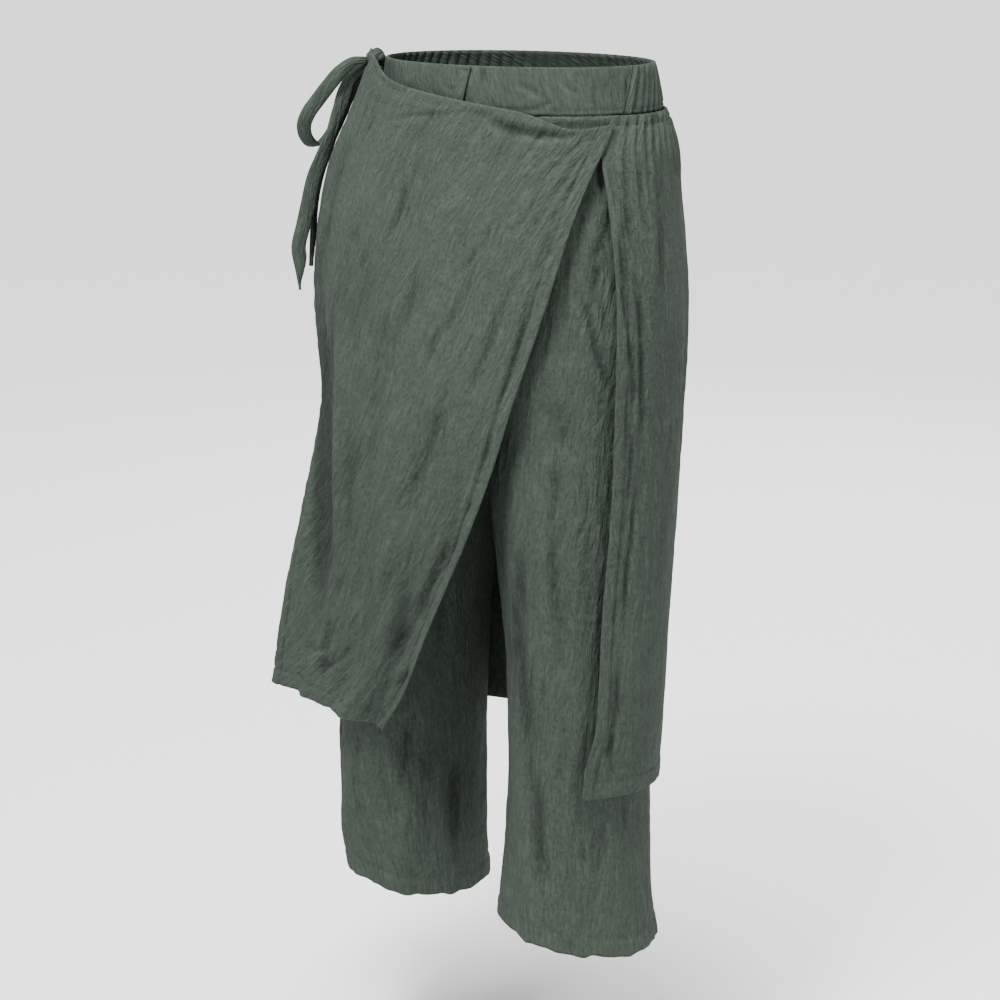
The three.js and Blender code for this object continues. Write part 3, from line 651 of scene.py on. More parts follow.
def back_wrap_points(share, z):
    """Outer points of the back wrap panel at a share round from its front edge."""
    edge, end = along(BACK_WRAP, "edge", z), along(BACK_WRAP, "end", z)
    turn = edge + (end - edge) * share
    from_edge = smoothstep(turn - edge, 2, 16)
    gathered = smoothstep(z, -118, -30) * (0.3 + 0.7 * from_edge)
    gather = WRAP_GATHER_HEIGHT * gather_wave(share) * gathered
    loose = smoothstep(-z, 60, 520)
    flute = np.zeros(turn.shape)
    for middle, height, width in zip(*FLUTES.values()):
        flute = flute + height * bump(turn - middle, width) * loose
    base = 2 + (along(BACK_WRAP, "out", z) - 2) * from_edge
    standing = np.maximum(np.where(z > -60, 1.6, 0), base + gather + flute)
    return clear_of_legs(on_hull(turn, z, standing), LEG_GAP)


def band_front_points(share, z):
    turn = along(BAND_SEAMS, "right", z) * (1 - share) + along(BAND_SEAMS, "left", z) * share
    wrinkle = 0.5 * np.sin(turn * 0.16 + z * 0.05) * bump(z, 16)
    return on_hull(turn, z, wrinkle)


def band_back_points(share, z):
    seam_turn = math.degrees(2 * SEAM_GAP / 110)
    first = along(BAND_SEAMS, "left", z) + seam_turn
    last = 360 + along(BAND_SEAMS, "right", z) - seam_turn
    edge = 1 - (z / BAND_TOP) ** 2
    out = 0.4 + GATHER_HEIGHT * gather_wave(share) * (0.7 + 0.3 * edge)
    return on_hull(first + (last - first) * share, z, out)


def along_tie(points, share):
    """Place and direction on a centripetal Catmull-Rom curve through points."""
    last = len(points) - 1
    place = share * last
    i = min(int(place), last - 1)
    t = place - i
    p1, p2 = points[i], points[i + 1]
    p0 = points[i - 1] if i > 0 else 2 * p1 - p2
    p3 = points[i + 2] if i + 2 <= last else 2 * p2 - p1
    d0, d1, d2 = (math.sqrt(np.linalg.norm(b - a)) for a, b in ((p0, p1), (p1, p2), (p2, p3)))
    start = ((p1 - p0) / d0 - (p2 - p0) / (d0 + d1) + (p2 - p1) / d1) * d1
    finish = ((p2 - p1) / d1 - (p3 - p1) / (d1 + d2) + (p3 - p2) / d2) * d1
    square = -3 * p1 + 3 * p2 - 2 * start - finish
    cube = 2 * p1 - 2 * p2 + start + finish
    middle = p1 + start * t + square * t * t + cube * t**3
    run = start + 2 * square * t + 3 * cube * t * t
    return middle, run / np.linalg.norm(run)


def tie_points(name, columns):
    """Outer points of a tie: a flat strip, cupped along its middle and bunched at the knot."""
    made = TIES[name]
    path = made["path"]
    order = list(range(len(path["x"])))
    if made["from_knot"]:
        order.insert(0, 0)
    if made["to_knot"]:
        order.append(order[-1])
    points = np.stack([path["x"], path["y"], path["z"]], 1)[order]
    if made["from_knot"]:
        points[0] = seat_at_knot(points[0], SEAM_GAP)
    if made["to_knot"]:
        points[-1] = seat_at_knot(points[-1], SEAM_GAP)
    azimuths, leans = np.radians(path["azimuth"][order]), np.radians(path["lean"][order])
    rows = []
    for share in np.linspace(0, 1, made["segments"] + 1):
        middle, run = along_tie(points, share)
        place = share * (len(order) - 1)
        azimuth = np.interp(place, np.arange(len(order)), azimuths)
        lean = np.interp(place, np.arange(len(order)), leans)
        level = math.cos(lean)
        side = np.array([math.cos(azimuth) * level, math.sin(azimuth) * level, math.sin(lean)])
        side -= side.dot(run) * run
        side /= np.linalg.norm(side)
        up = np.cross(run, side)
        narrow = min(1, made["start"] + share * 3, made["finish"] + (1 - share) * 3)
        right = 0.5 - made["cut"] * smoothstep(share, 0.85, 1)
        place_across = np.linspace(-0.5, right, columns + 1)
        cup = TIE_CUP * (1 - np.linspace(-1, 1, columns + 1) ** 2)
        rows.append(middle + np.outer(place_across * TIE_WIDTH * narrow, side) + np.outer(cup, up))
    return np.array(rows)


def knot_points(rows, columns):
    """Outer points of the knot, wound in soft folds close to the solid one's surface."""
    height = np.linspace(0.02, math.pi - 0.02, rows + 1)[:, None]
    turn = np.linspace(0, 2 * math.pi, columns + 1)[None, :]
    x = np.sin(height) * np.cos(turn)
    y = np.sin(height) * np.sin(turn)
    z = np.cos(height) * np.ones_like(turn)
    wound = 0.10 * bump(x + 0.35 * z, 0.16) + 0.07 * bump(x - 0.5 * z - 0.55, 0.12)
    wound = wound + 0.06 * bump(x + 0.2 * z + 0.6, 0.12) + 0.03 * (1 - np.cos(9 * x + 5 * z))
    grown = 1.02 - wound
    half, depth, tall = KNOT["radii"]
    azimuth = math.radians(KNOT["azimuth"])
    x, y, z = x * grown * half, y * grown * depth, z * grown * tall
    turned_x = x * math.cos(azimuth) - y * math.sin(azimuth)
    turned_y = x * math.sin(azimuth) + y * math.cos(azimuth)
    return np.stack([turned_x, turned_y, z], -1) + np.array(KNOT["middle"])


# Cloth: grids of outer points, their relief, and the shells made from them.


def flat_coordinates(points):
    """Millimetres across and down along the cloth, at each point of a grid."""
    across = np.linalg.norm(np.diff(points, axis=1), axis=2)
    down = np.linalg.norm(np.diff(points, axis=0), axis=2)
    u = np.concatenate([np.zeros((len(points), 1)), np.cumsum(across, 1)], 1)
    v = np.concatenate([np.zeros((1, points.shape[1])), np.cumsum(down, 0)], 0)
    return u, v


def facings(points):
    """Outward directions at the points of a grid."""
    normal = np.cross(np.gradient(points, axis=0), np.gradient(points, axis=1))
    return normal / np.linalg.norm(normal, axis=2, keepdims=True)


def creased(rows, u, v):
    """Soft troughs and ridges on bowed lines, each with a lesser one of the other kind beside it."""
    height = np.zeros(u.shape)
    for from_u, from_v, to_u, to_v, bow, rise, width in zip(*rows.values()):
        length = math.hypot(to_u - from_u, to_v - from_v)
        run_u, run_v = (to_u - from_u) / length, (to_v - from_v) / length
        t = ((u - from_u) * run_u + (v - from_v) * run_v) / length
        away = (v - from_v) * run_u - (u - from_u) * run_v - bow * 4 * t * (1 - t)
        shown = smoothstep(t, -0.04, 0.3) * smoothstep(1 - t, -0.04, 0.35)
        height += rise * (bump(away, width) - 0.4 * bump(away - 1.7 * width, width)) * shown
    return height


def dragged(u, v, seed, lean, long=1.0, fine=1.0):
    """Uneven wrinkles along a direction leaning from straight down, in degrees: the main relief, the fine
    relief and the wandering coordinates that both follow."""
    lean = np.radians(lean)
    across = u * np.cos(lean) - v * np.sin(lean)
    down = u * np.sin(lean) + v * np.cos(lean)
    wander = across + 6 * noise(across / 46, down / 70, seed + 1)
    wander = wander + 1.6 * noise(across / 12, down / 34, seed + 2)
    soft = noise(wander / 17, down / 120, seed + 3)
    sharp = np.abs(noise(wander / 11, down / 80, seed + 4)) ** 0.7
    place = np.clip(0.5 + 0.6 * noise(across / 60, down / 90, seed + 5), 0, 1)
    main = long * (0.45 * soft + 1.0 * (sharp - 0.5) * place)
    crinkle = noise(wander / 4.4, down / 22, seed + 6) + 0.6 * noise(wander / 2.9, down / 9, seed + 7)
    much = 0.75 + 0.6 * noise(across / 34, down / 40, seed + 8)
    return main, fine * 0.62 * crinkle * much, (wander, down)


def hemmed(distance, width, u, seed, depth=1.5):
    """Turned hem: raised between its edge and its stitched line, which puckers the cloth."""
    inside = smoothstep(width - distance, -0.6, 0.6)
    pucker = noise(u / 4.2, distance / 9, seed) * bump(distance - width, 5) * 0.45
    return 0.5 * inside - depth * bump(distance - width - 0.8, 1.7) + 0.4 * bump(distance - 2, 2) + pucker


def shell(name, points, relief, fine, thickness, grain, level=False, coarse=2):
    """Closed cloth shell: the outer face carries all the relief, the coarser inner one only the main."""
    normal = facings(points)
    if level:
        for row in (0, -1):
            normal[row, :, 2] = 0
            normal[row] /= np.linalg.norm(normal[row], axis=1, keepdims=True)
    outer = points + (relief + fine)[..., None] * normal
    inner = (points + (relief - thickness)[..., None] * normal)[::coarse, ::coarse]
    rows, columns = outer.shape[:2]
    index = np.arange(rows * columns).reshape(rows, columns)
    back = rows * columns + np.arange(inner.shape[0] * inner.shape[1]).reshape(inner.shape[:2])
    front_faces = np.stack([index[:-1, :-1], index[1:, :-1], index[1:, 1:], index[:-1, 1:]], -1)
    back_faces = np.stack([back[:-1, :-1], back[:-1, 1:], back[1:, 1:], back[1:, :-1]], -1)
    loop = np.concatenate([index[0, :-1], index[:-1, -1], index[-1, :0:-1], index[:0:-1, 0]])
    back_loop = np.concatenate([back[0, :-1], back[:-1, -1], back[-1, :0:-1], back[:0:-1, 0]])
    faces = front_faces.reshape(-1, 4).tolist() + back_faces.reshape(-1, 4).tolist()
    for k in range(len(back_loop)):
        outer_run = [int(loop[(k * coarse + step) % len(loop)]) for step in range(coarse + 1)]
        faces.append(outer_run + [int(back_loop[(k + 1) % len(back_loop)]), int(back_loop[k])])
    u, v = flat_coordinates(points)
    # Relief kept for the material, which turns it into painted shade in troughs and painted highlight on
    # ridges.
    sunk = relief + 1.6 * fine
    grids = dict(zip(VALUES, (u, v, *grain, sunk)))
    kept = {
        key: np.concatenate([grid.ravel(), grid[::coarse, ::coarse].ravel()]) for key, grid in grids.items()
    }
    piece = make(name, np.concatenate([outer.reshape(-1, 3), inner.reshape(-1, 3)]), faces, kept)
    return piece, outer, facings(outer)


VALUES = ("cloth_u", "cloth_v", "crinkle_u", "crinkle_v", "relief")


def placed(name, data):
    """Puts a mesh, lamp or camera in the scene as an object."""
    made = bpy.data.objects.new(name, data)
    bpy.context.scene.collection.objects.link(made)
    return made


def make(name, vertices, faces, values):
    """Smooth mesh object from points in millimetres, with UV maps in metres along weave and crinkle."""
    mesh = bpy.data.meshes.new(name)
    mesh.from_pydata((vertices * MM).tolist(), [], faces)
    corners = np.empty(len(mesh.loops), int)
    mesh.loops.foreach_get("vertex_index", corners)
    for way in ("cloth", "crinkle"):
        layer = mesh.uv_layers.new(name=way)
        flat = np.stack([values[f"{way}_u"], values[f"{way}_v"]], 1)[corners] * MM
        layer.data.foreach_set("uv", flat.ravel())
    # The relief attribute drives the materials' painted shade and highlight.
    relief = mesh.attributes.new("relief", "FLOAT", "POINT")
    relief.data.foreach_set("value", values["relief"].astype(float))
    mesh.polygons.foreach_set("use_smooth", np.ones(len(mesh.polygons), bool))
    mesh.update()
    return placed(name, mesh)


def sampled(grid, rows, columns):
    """Values of a grid at places between its rows and columns."""
    r0 = np.clip(np.floor(rows).astype(int), 0, grid.shape[0] - 2)
    c0 = np.clip(np.floor(columns).astype(int), 0, grid.shape[1] - 2)
    fr, fc = (rows - r0)[:, None], (columns - c0)[:, None]
    top = grid[r0, c0] * (1 - fc) + grid[r0, c0 + 1] * fc
    low = grid[r0 + 1, c0] * (1 - fc) + grid[r0 + 1, c0 + 1] * fc
    return top * (1 - fr) + low * fr


# Faces of one stitch: its first end is 0, its sides 1 and 2, its last end 3, its crest 4, its underside 5.
STITCH_FACES = ((0, 2, 4), (0, 4, 1), (3, 1, 4), (3, 4, 2), (0, 1, 5), (0, 5, 2), (3, 5, 1), (3, 2, 5))


def stitches(name, outer, normal, lines, length=2.1, width=0.42):
    """Sewn dashes that lie along lines on a grid, each line given as its row and column places."""
    vertices, faces = [], []
    for rows, columns in (np.broadcast_arrays(*line) for line in lines):
        path = sampled(outer, rows, columns)
        out = sampled(normal, rows, columns)
        reach = np.concatenate([[0], np.cumsum(np.linalg.norm(np.diff(path, axis=0), axis=1))])
        for place in np.arange(STITCH_PITCH, reach[-1] - STITCH_PITCH, STITCH_PITCH):
            ends = [
                np.array([np.interp(at, reach, path[:, k]) for k in range(3)])
                for at in (place - length / 2, place + length / 2)
            ]
            up = np.array([np.interp(place, reach, out[:, k]) for k in range(3)])
            up /= np.linalg.norm(up)
            run = (ends[1] - ends[0]) / np.linalg.norm(ends[1] - ends[0])
            side = np.cross(up, run) * width / 2
            middle = (ends[0] + ends[1]) / 2
            start = len(vertices)
            vertices += [ends[0] - 0.15 * up, middle + side + 0.2 * up, middle - side + 0.2 * up]
            vertices += [ends[1] - 0.15 * up, middle + 0.38 * up, middle - 0.25 * up]
            faces += [[start + a, start + b, start + c] for a, b, c in STITCH_FACES]
    vertices = np.array(vertices)
    return make(name, vertices, faces, dict.fromkeys(VALUES, np.zeros(len(vertices))))


# Materials


class Wire:
    """A node socket that takes part in Python expressions."""

    def __init__(self, tree, socket):
        self.tree = tree
        self.socket = socket

    def math(self, operation, a, b=None):
        values = [a] if b is None else [a, b]
        return node(self.tree, "ShaderNodeMath", {"operation": operation}, dict(enumerate(values)))

    def __add__(self, other):
        return self.math("ADD", self, other)

    def __sub__(self, other):
        return self.math("SUBTRACT", self, other)

    def __rsub__(self, other):
        return self.math("SUBTRACT", other, self)

    def __mul__(self, other):
        return self.math("MULTIPLY", self, other)

    def size(self):
        return self.math("ABSOLUTE", self)

    __radd__ = __add__
    __rmul__ = __mul__


def node(tree, kind, settings, inputs, output=0):
    """Adds a node with its settings and the values or links of its sockets, and gives one output."""
    made = tree.nodes.new(kind)
    for key, value in settings.items():
        setattr(made, key, value)
    for key, value in inputs.items():
        if isinstance(value, Wire):
            tree.links.new(value.socket, made.inputs[key])
        else:
            made.inputs[key].default_value = value
    return Wire(tree, made.outputs[output])


def mixed(tree, share, a, b):
    """Colour between two colours."""
    settings = {"data_type": "RGBA"}
    return node(tree, "ShaderNodeMix", settings, {0: share, 6: a, 7: b}, output=2)


def new_finish(name):
    """A new material with its node tree and its surface shader."""
    material = bpy.data.materials.new(name)
    material.use_nodes = True
    return material, material.node_tree, material.node_tree.nodes["Principled BSDF"]


def crinkled_cotton(name, light, dark, weave=1.0):
    """Matt crinkled cotton: painted shade darkens its troughs and painted highlight lightens its ridges, with
    a fine open weave.
    """
    material, tree, shader = new_finish(name)
    relief = node(tree, "ShaderNodeAttribute", {"attribute_name": "relief"}, {}, output=2)

    def grain(way, across, down, detail, rough):
        """Noise from 0 to 1 with so many waves a metre across and down the weave or the crinkle."""
        flat = node(tree, "ShaderNodeUVMap", {"uv_map": way}, {})
        place = node(tree, "ShaderNodeVectorMath", {"operation": "MULTIPLY"}, {0: flat, 1: (across, down, 1)})
        values = {"Vector": place, "Scale": 1.0, "Detail": detail, "Roughness": rough}
        return node(tree, "ShaderNodeTexNoise", {"noise_dimensions": "2D"}, values)

    cloudy = grain("cloth", 9, 6, 3, 0.6)
    threads = grain("cloth", 900, 60, 1, 0.5) + grain("cloth", 70, 800, 1, 0.5)
    crepe = grain("crinkle", 380, 190, 2, 0.6)
    wrinkle = grain("crinkle", 170, 34, 3, 0.6)
    creased_line = (wrinkle * 2 - 1).size()
    smooth = {"interpolation_type": "SMOOTHSTEP"}
    # Relief to colour: painted shade in the troughs and painted highlight on the ridges.
    raised = node(tree, "ShaderNodeMapRange", smooth, {0: relief, 1: -3.6, 2: 0.4})
    # The crease lines and the crepe shade the colour too, as painted shade and highlight; the cloudy and
    # thread noise is the cloth's own uneven tone.
    share = raised * 0.35 + creased_line * 0.45 + (crepe - 0.5) * 0.5
    share = share + (cloudy - 0.5) * 0.25 + (threads - 1) * 0.2
    share = share + 0.02
    colour = mixed(tree, share, dark, light)
    height = creased_line * 0.8 + wrinkle * 0.5 + crepe * 0.5 + threads * (0.1 * weave)
    surface = node(tree, "ShaderNodeBump", {}, {"Strength": 1.0, "Distance": 0.0016, "Height": height})
    tree.links.new(colour.socket, shader.inputs["Base Color"])
    tree.links.new(surface.socket, shader.inputs["Normal"])
    shader.inputs["Roughness"].default_value = 0.93
    shader.inputs["Specular IOR Level"].default_value = 0.15
    return material


def plain(name, colour, roughness, specular=0.3):
    material, _, shader = new_finish(name)
    shader.inputs["Base Color"].default_value = colour
    shader.inputs["Roughness"].default_value = roughness
    shader.inputs["Specular IOR Level"].default_value = specular
    return material


FINISHES = {
    "cloth": crinkled_cotton(
        "sage_crinkled_cotton",
        light=(0.0600, 0.0800, 0.0625, 1),
        dark=(0.0140, 0.0188, 0.0148, 1),
    ),
    "band_cloth": crinkled_cotton(
        "sage_band_cotton",
        light=(0.0560, 0.0750, 0.0590, 1),
        dark=(0.0145, 0.0195, 0.0155, 1),
        weave=0.7,
    ),
    "tie_cloth": crinkled_cotton(
        "sage_tie_cotton",
        light=(0.0640, 0.0860, 0.0680, 1),
        dark=(0.0150, 0.0205, 0.0160, 1),
    ),
}
THREAD = plain("sage_thread", (0.036, 0.050, 0.039, 1), 0.8)


def dress(piece, slot, *nodes, material=None):
    """Gives a piece its finish, its body and the solids that it stands for."""
    piece.data.materials.append(material or FINISHES[slot])
    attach(piece, "root")
    if nodes:
        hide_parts(*nodes)
    return piece


# The camera comes before the cloth: creases that the photograph shows are placed by its pixels.
CAMERA_PLACE = np.array([1.24652, -1.56412, 0.158])
CAMERA_PITCH = math.radians(90 - 15.3)
CAMERA_AZIMUTH = math.radians(39)
CAMERA_LENS = 79.2
SENSOR = 36.0
PICTURE = 1000

camera_data = bpy.data.cameras.new("camera")
camera_data.lens = CAMERA_LENS
camera_data.sensor_width = SENSOR
camera = placed("camera", camera_data)
camera.location = Vector(CAMERA_PLACE)
camera.rotation_euler = (CAMERA_PITCH, 0, CAMERA_AZIMUTH)
bpy.context.scene.camera = camera


def pictured(points):
    """Pixels of the photograph at which points in millimetres show."""
    right = np.array([math.cos(CAMERA_AZIMUTH), math.sin(CAMERA_AZIMUTH), 0])
    back = np.array([math.sin(CAMERA_AZIMUTH), -math.cos(CAMERA_AZIMUTH), 0]) * math.sin(CAMERA_PITCH)
    back[2] = math.cos(CAMERA_PITCH)
    up = np.cross(back, right)
    away = points * MM - CAMERA_PLACE
    size = PICTURE * CAMERA_LENS / SENSOR / -(away @ back)
    return PICTURE / 2 + size * (away @ right), PICTURE / 2 - size * (away @ up)


def fading(distance, reach):
    """0 at an edge and 1 from a reach away."""
    return smoothstep(distance, 0, reach)


def trouser_panel(side, face, grid_size, rows_of_creases, seen, seed):
    """One trouser panel, cut from waist to hem, with its hem and creases."""
    rows, columns = grid_size
    heights = np.linspace(PANEL_TOP, -TROUSER_DROP, rows + 1)[:, None]
    across = np.linspace(0, 1, columns + 1)[None, :]
    if side * face < 0:
        across = across[:, ::-1]
    points = trouser_points(side, face, across, heights)
    u, v = flat_coordinates(points)
    from_seam = np.minimum(u, u[:, -1:] - u)
    from_hem = v[-1] - v
    # The tables count across from the inner seam; the crinkle runs along the side seam.
    from_inner = u if side * face > 0 else u[:, -1:] - u
    main, fine, grain = dragged(from_inner[:, -1:] + from_inner[:, :1] - from_inner, v, seed, 4, long=0.35)
    relief = creased(rows_of_creases, from_inner, v) + main
    if seen is not None:
        relief += creased(seen, *pictured(points))
    low = smoothstep(v, 560, 760)
    relief += 0.7 * low * noise(u / 13, from_hem / 60, seed + 20)
    relief = np.clip(relief, -4, 1.0) * fading(from_seam, 9) * fading(v, 12)
    relief += hemmed(from_hem, TROUSER_HEM, u, seed + 21, depth=0.9) - 0.35 * bump(from_seam, 1.6)
    scallop = fading(from_seam, 7)
    relief += 0.9 * noise(u / 7, from_hem / 26, seed + 22) * bump(from_hem, 22) * scallop
    points[..., 2] += 1.7 * noise(u / 12, from_hem / 60, seed + 23) * bump(from_hem, 12) * scallop
    relief -= 1.1 * bump(v - TOPSTITCH, 1.5) - 0.5 * bump(v - TOPSTITCH / 2, 2.5)
    fine = fine * fading(v, 4) * fading(from_seam, 3) * (1 - 0.5 * bump(from_hem, 5))
    name = f"trouser_{'front' if face > 0 else 'back'}_{'left' if side > 0 else 'right'}"
    piece, outer, normal = shell(f"{name}_cloth", points, relief, fine, CLOTH_THICKNESS, grain, level=True)
    dress(piece, "cloth", name)
    line_columns = np.linspace(1, columns - 1, columns * 2)
    row = rows * (1 - TROUSER_HEM / (TROUSER_DROP + PANEL_TOP))
    top_row = rows * TOPSTITCH / (TROUSER_DROP + PANEL_TOP)
    lines = [(row, line_columns), (top_row, line_columns)]
    thread = stitches(f"{name}_thread", outer, normal, lines)
    dress(thread, "cloth", material=THREAD)
    return piece, thread


def wrap_front_panel(rows, columns, seed):
    """The front wrap panel with its hems, drawn to its tied corner, in the folds of the photograph."""
    down = np.linspace(0, 1, rows + 1)[:, None]
    across = np.linspace(1, 0, columns + 1)[None, :]
    points = wrap_points(across, down)
    u, v = flat_coordinates(points)
    from_free = u[:, -1:] - u
    from_top, from_low = v, v[-1] - v
    main, fine, grain = dragged(from_free, v, seed, 7, long=1.1)
    relief = main + creased(WRAP_CREASES, from_free, v)
    relief += creased(SEEN_WRAP_CREASES, *pictured(points))
    drawn = noise(from_top / 3.4, from_free / 60, seed + 30) * bump(from_top, 26) * 0.8
    relief = relief + drawn
    calm = fading(from_free, 14) * fading(from_top, 9) * fading(from_low, 8) * fading(u, 8)
    corner = 1 - bump(from_free, 26) * bump(from_top, 30)
    relief = np.clip(relief, -5.5, 3.0) * calm * corner
    relief += hemmed(from_free, WRAP_HEM, v, seed + 31) * corner
    relief += hemmed(from_low, WRAP_HEM + 3, u, seed + 32, depth=0.8)
    relief += hemmed(u, WRAP_HEM, v, seed + 33) * fading(from_top, 30)
    fine = fine * corner
    piece, outer, normal = shell("wrap_front_cloth", points, relief, fine, CLOTH_THICKNESS, grain)
    dress(piece, "cloth", "wrap_front")
    step_u = u[:, -1].mean() / columns
    step_v = v[-1].mean() / rows
    free_column = columns - WRAP_HEM / step_u
    low_row = rows - (WRAP_HEM + 3) / step_v
    line_rows = np.linspace(8, low_row, rows * 2)
    line_columns = np.linspace(WRAP_HEM / step_u, free_column, columns * 2)
    lines = [
        (line_rows, free_column),
        (low_row, line_columns),
        (line_rows, WRAP_HEM / step_u),
    ]
    thread = dress(stitches("wrap_front_thread", outer, normal, lines), "cloth", material=THREAD)
    return piece, thread


def wrap_back_panel(rows, columns, seed):
    """The back wrap panel, gathered into the waistband and hanging in flutes."""
    down = np.linspace(0, 1, rows + 1)[:, None] ** TOP_ROWS_CLOSER
    heights = PANEL_TOP - (BACK_WRAP_DROP + PANEL_TOP) * down
    share = np.linspace(0, 1, columns + 1)[None, :]
    points = back_wrap_points(share, heights)
    u, v = flat_coordinates(points)
    from_end, from_low = u[:, -1:] - u, v[-1] - v
    main, fine, grain = dragged(u, v, seed, 3, long=0.7)
    relief = main + creased(BACK_WRAP_CREASES, u, v)
    relief += creased(SEEN_BACK_WRAP_CREASES, *pictured(points)) * (u < 120)
    tucks = noise(u / 3.6, v / 60, seed + 40) * bump(v, 60) * 0.9
    relief += tucks
    calm = fading(u, 8) * fading(v, 5) * fading(from_low, 8) * fading(from_end, 8)
    under = 1 - 0.8 * bump(u, 26) * bump(v, 60)
    relief = np.clip(relief, -3.0, 2.4) * calm * under
    relief += hemmed(u, WRAP_HEM, v, seed + 41) * fading(v, 60)
    relief += hemmed(from_low, WRAP_HEM + 3, u, seed + 42, depth=0.8)
    relief += hemmed(from_end, WRAP_HEM, v, seed + 43) * fading(v, 30)
    relief -= 1.1 * bump(v - TOPSTITCH, 1.5)
    fine = fine * under * fading(v, 3)
    piece, outer, normal = shell("wrap_back_cloth", points, relief, fine, CLOTH_THICKNESS, grain, level=True)
    dress(piece, "cloth", "wrap_back")
    low_row = np.interp(v[-1].mean() - WRAP_HEM - 3, v.mean(1), np.arange(rows + 1))
    first_column = WRAP_HEM / u[rows // 2, 1]
    last_column = columns - first_column
    line_rows = np.linspace(rows * 0.1, low_row, rows * 2)
    line_columns = np.linspace(first_column, last_column, columns * 2)
    top_row = np.interp(TOPSTITCH, v.mean(1), np.arange(rows + 1))
    lines = [
        (low_row, line_columns),
        (top_row, line_columns),
        (line_rows, first_column),
        (line_rows, last_column),
    ]
    thread = dress(stitches("wrap_back_thread", outer, normal, lines), "cloth", material=THREAD)
    return piece, thread


def band(name, points, seed, lean, waves):
    """One piece of the waistband: doubled cloth with pressed edges and a sewn line near its lower edge."""
    u, v = flat_coordinates(points)
    main, fine, grain = dragged(u, v * 0.6, seed, lean, long=waves)
    from_top, from_low = v, v[-1] - v
    ends = np.minimum(u, u[:, -1:] - u)
    relief = main * 0.6 * fading(from_top, 7) * fading(from_low, 7) * fading(ends, 5)
    relief -= 0.8 * bump(from_low - BAND_STITCH, 1.2) * fading(ends, 3)
    relief -= 0.5 * bump(from_top, 2.2) + 1.1 * bump(from_low, 2.4)
    if name == "waistband_front":
        relief += creased(SEEN_BAND_CREASES, *pictured(points)) * fading(ends, 2)
    relief = np.clip(relief, -2.2, 1.2)
    fine = fine * 0.8
    piece, outer, normal = shell(f"{name}_cloth", points, relief, fine, BAND_THICKNESS, grain, level=True)
    dress(piece, "band_cloth", name)
    rows, columns = points.shape[0] - 1, points.shape[1] - 1
    row = rows * (1 - BAND_STITCH / (BAND_TOP - BAND_BOTTOM))
    line_columns = np.linspace(1, columns - 1, columns * 2)
    thread = stitches(f"{name}_thread", outer, normal, [(row, line_columns)])
    dress(thread, "band_cloth", material=THREAD)
    return piece, thread


def tie_piece(name, seed):
    """One tie: a pressed strip of doubled cloth, crumpled along its length."""
    points = tie_points(name, TIE_COLUMNS)
    u, v = flat_coordinates(points)
    width = u[:, -1:]
    edge = np.minimum(u, width - u)
    main, fine, grain = dragged(u * 1.6, v, seed, 8, long=0.45)
    bunched = 1 - np.clip(width / TIE_WIDTH, 0, 1)
    relief = np.clip(main, -0.7, 0.5) * fading(edge, 3) - 0.5 * bump(edge, 1.0)
    relief += bunched * 0.9 * np.cos(u * 2.6) * fading(edge, 1.5)
    piece, _, _ = shell(f"{name}_cloth", points, relief, fine * 0.7, TIE_THICKNESS, grain)
    return dress(piece, "tie_cloth", name)


def belt_loop_piece():
    """The narrow strip over the front band, folded in and sewn down at both ends."""
    loop = BELT_LOOP
    rows, columns = LOOP_GRID
    spread = math.degrees(loop["width"] / HULL["front"][0])
    share = np.linspace(0, 1, rows + 1)[:, None]
    turn = loop["turn"] - loop["lean"] * share + spread * np.linspace(-0.5, 0.5, columns + 1)[None, :]
    out = loop["out"] + loop["crown"] * np.sin(share * math.pi)
    points = on_hull(turn, loop["top"] - loop["length"] * share, out)
    u, v = flat_coordinates(points)
    edge = np.minimum(u, u[:, -1:] - u)
    main, fine, grain = dragged(u, v, 610, 10, long=0.3)
    relief = main * fading(edge, 2) - 0.4 * bump(edge, 0.9) - 0.45 * bump(v - loop["fold"], 0.9)
    relief -= 0.45 * bump(v[-1] - v - loop["fold"], 0.9)
    piece, _, _ = shell("belt_loop_cloth", points, relief, fine * 0.6, TIE_THICKNESS, grain)
    return dress(piece, "band_cloth", "belt_loop")


def knot_piece():
    rows, columns = KNOT_GRID
    points = knot_points(rows, columns)
    ring = points[:, :-1].reshape(-1, 3)
    faces = []
    for r in range(rows):
        for c in range(columns):
            a, b = r * columns + c, r * columns + (c + 1) % columns
            faces.append([a, a + columns, b + columns, b])
    faces.append(list(range(columns)))
    faces.append([rows * columns + c for c in reversed(range(columns))])
    u, v = flat_coordinates(points)
    # Distance from the knot's mean radius, kept as relief: the material turns it into painted shade in the
    # knot's hollows and painted highlight on its bulges.
    fine = (np.linalg.norm(points - np.array(KNOT["middle"]), axis=2) - KNOT_MEAN_RADIUS) * 0.8
    grids = dict(zip(VALUES, (u, v, u, v, fine)))
    values = {key: grid[:, :-1].ravel() for key, grid in grids.items()}
    piece = make("tie_knot_cloth", ring, faces, values)
    return dress(piece, "tie_cloth", "tie_knot")


# The pieces, each attached to the root body.
trousers = {
    "trouser_front_right": trouser_panel(-1, 1, FRONT_GRID, FRONT_LEG_CREASES, SEEN_RIGHT_LEG_CREASES, 100),
    "trouser_front_left": trouser_panel(1, 1, FRONT_GRID, FRONT_LEG_CREASES, SEEN_LEFT_LEG_CREASES, 200),
    "trouser_back_right": trouser_panel(-1, -1, BACK_GRID, BACK_LEG_CREASES, None, 300),
    "trouser_back_left": trouser_panel(1, -1, BACK_GRID, BACK_LEG_CREASES, None, 400),
}
for name, (piece, thread) in trousers.items():
    cut = TROUSER_CUTS["front" if "front" in name else "back"]

wrap_front_cloth, wrap_front_thread = wrap_front_panel(*WRAP_FRONT_GRID, 500)
wrap_back_cloth, wrap_back_thread = wrap_back_panel(*WRAP_BACK_GRID, 540)

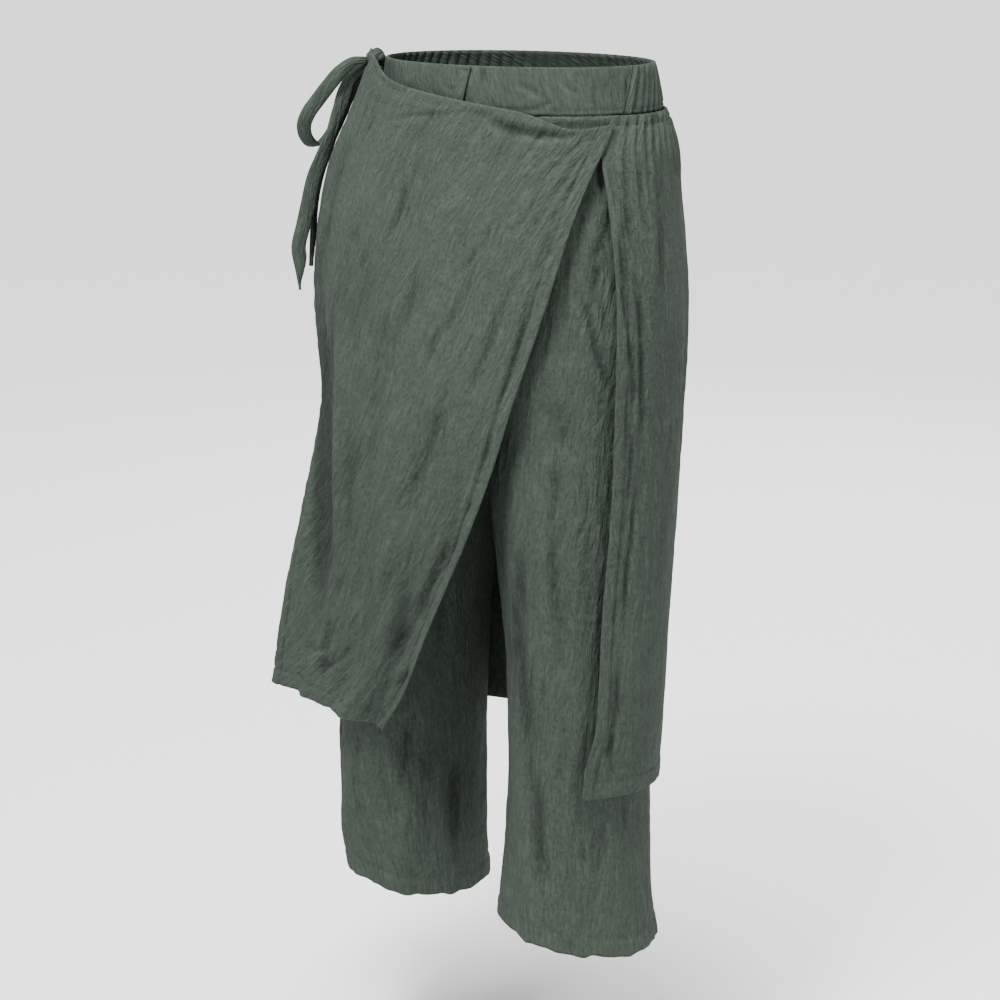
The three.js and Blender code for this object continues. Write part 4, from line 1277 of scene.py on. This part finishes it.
band_rows = np.linspace(BAND_TOP, BAND_BOTTOM, BAND_ROWS + 1)[:, None]
front_points = band_front_points(np.linspace(0, 1, BAND_FRONT_COLUMNS + 1)[None, :], band_rows)
back_points = band_back_points(np.linspace(0, 1, BAND_BACK_COLUMNS + 1)[None, :], band_rows)
band_front, band_front_thread = band("waistband_front", front_points, 570, 20, 0.7)
band_back, band_back_thread = band("waistband_back", back_points, 590, 0, 0.5)

belt_loop_cloth = belt_loop_piece()
knot_piece()
for seed, (name, cut) in enumerate(TIE_CUTS.items()):
    piece = tie_piece(name, 620 + 10 * seed)

# Floor and light
FLOOR_HEIGHT = -1.0
FLOOR_REACH = 45.0
floor_mesh = bpy.data.meshes.new("floor")
ways = ((-1, -1), (1, -1), (1, 1), (-1, 1))
corners = [(x * FLOOR_REACH, y * FLOOR_REACH, FLOOR_HEIGHT) for x, y in ways]
floor_mesh.from_pydata(corners, [], [(0, 1, 2, 3)])
floor = placed("floor", floor_mesh)
floor_mesh.materials.append(plain("pale_floor", (0.9, 0.9, 0.9, 1), 1.0, specular=0.0))


def area_light(name, place, aim, size, energy):
    """Soft square light aimed at a point."""
    data = bpy.data.lights.new(name, "AREA")
    data.size = size
    data.energy = energy
    lamp = placed(name, data)
    lamp.location = Vector(place)
    lamp.rotation_euler = (Vector(aim) - Vector(place)).to_track_quat("-Z", "Y").to_euler()


area_light("key", (0.16, -1.2, 1.5), (0, 0, -0.1), size=0.5, energy=78)
area_light("side", (2.3, 0.5, 0.9), (0, 0, -0.4), size=1.6, energy=26)
area_light("rim", (-0.9, 2.5, 1.3), (0, 0, -0.35), size=1.6, energy=46)
overhead = bpy.data.lights.new("overhead", "SUN")
overhead.energy = 5.0
overhead.angle = math.radians(25)
overhead_lamp = placed("overhead", overhead)
overhead_lamp.rotation_euler = (math.radians(14), math.radians(4), 0)
world = bpy.data.worlds.new("studio")
world.use_nodes = True
sky = world.node_tree.nodes["Background"]
sky.inputs["Color"].default_value = (1, 1, 1, 1)
sky.inputs["Strength"].default_value = 0.36
bpy.context.scene.world = world
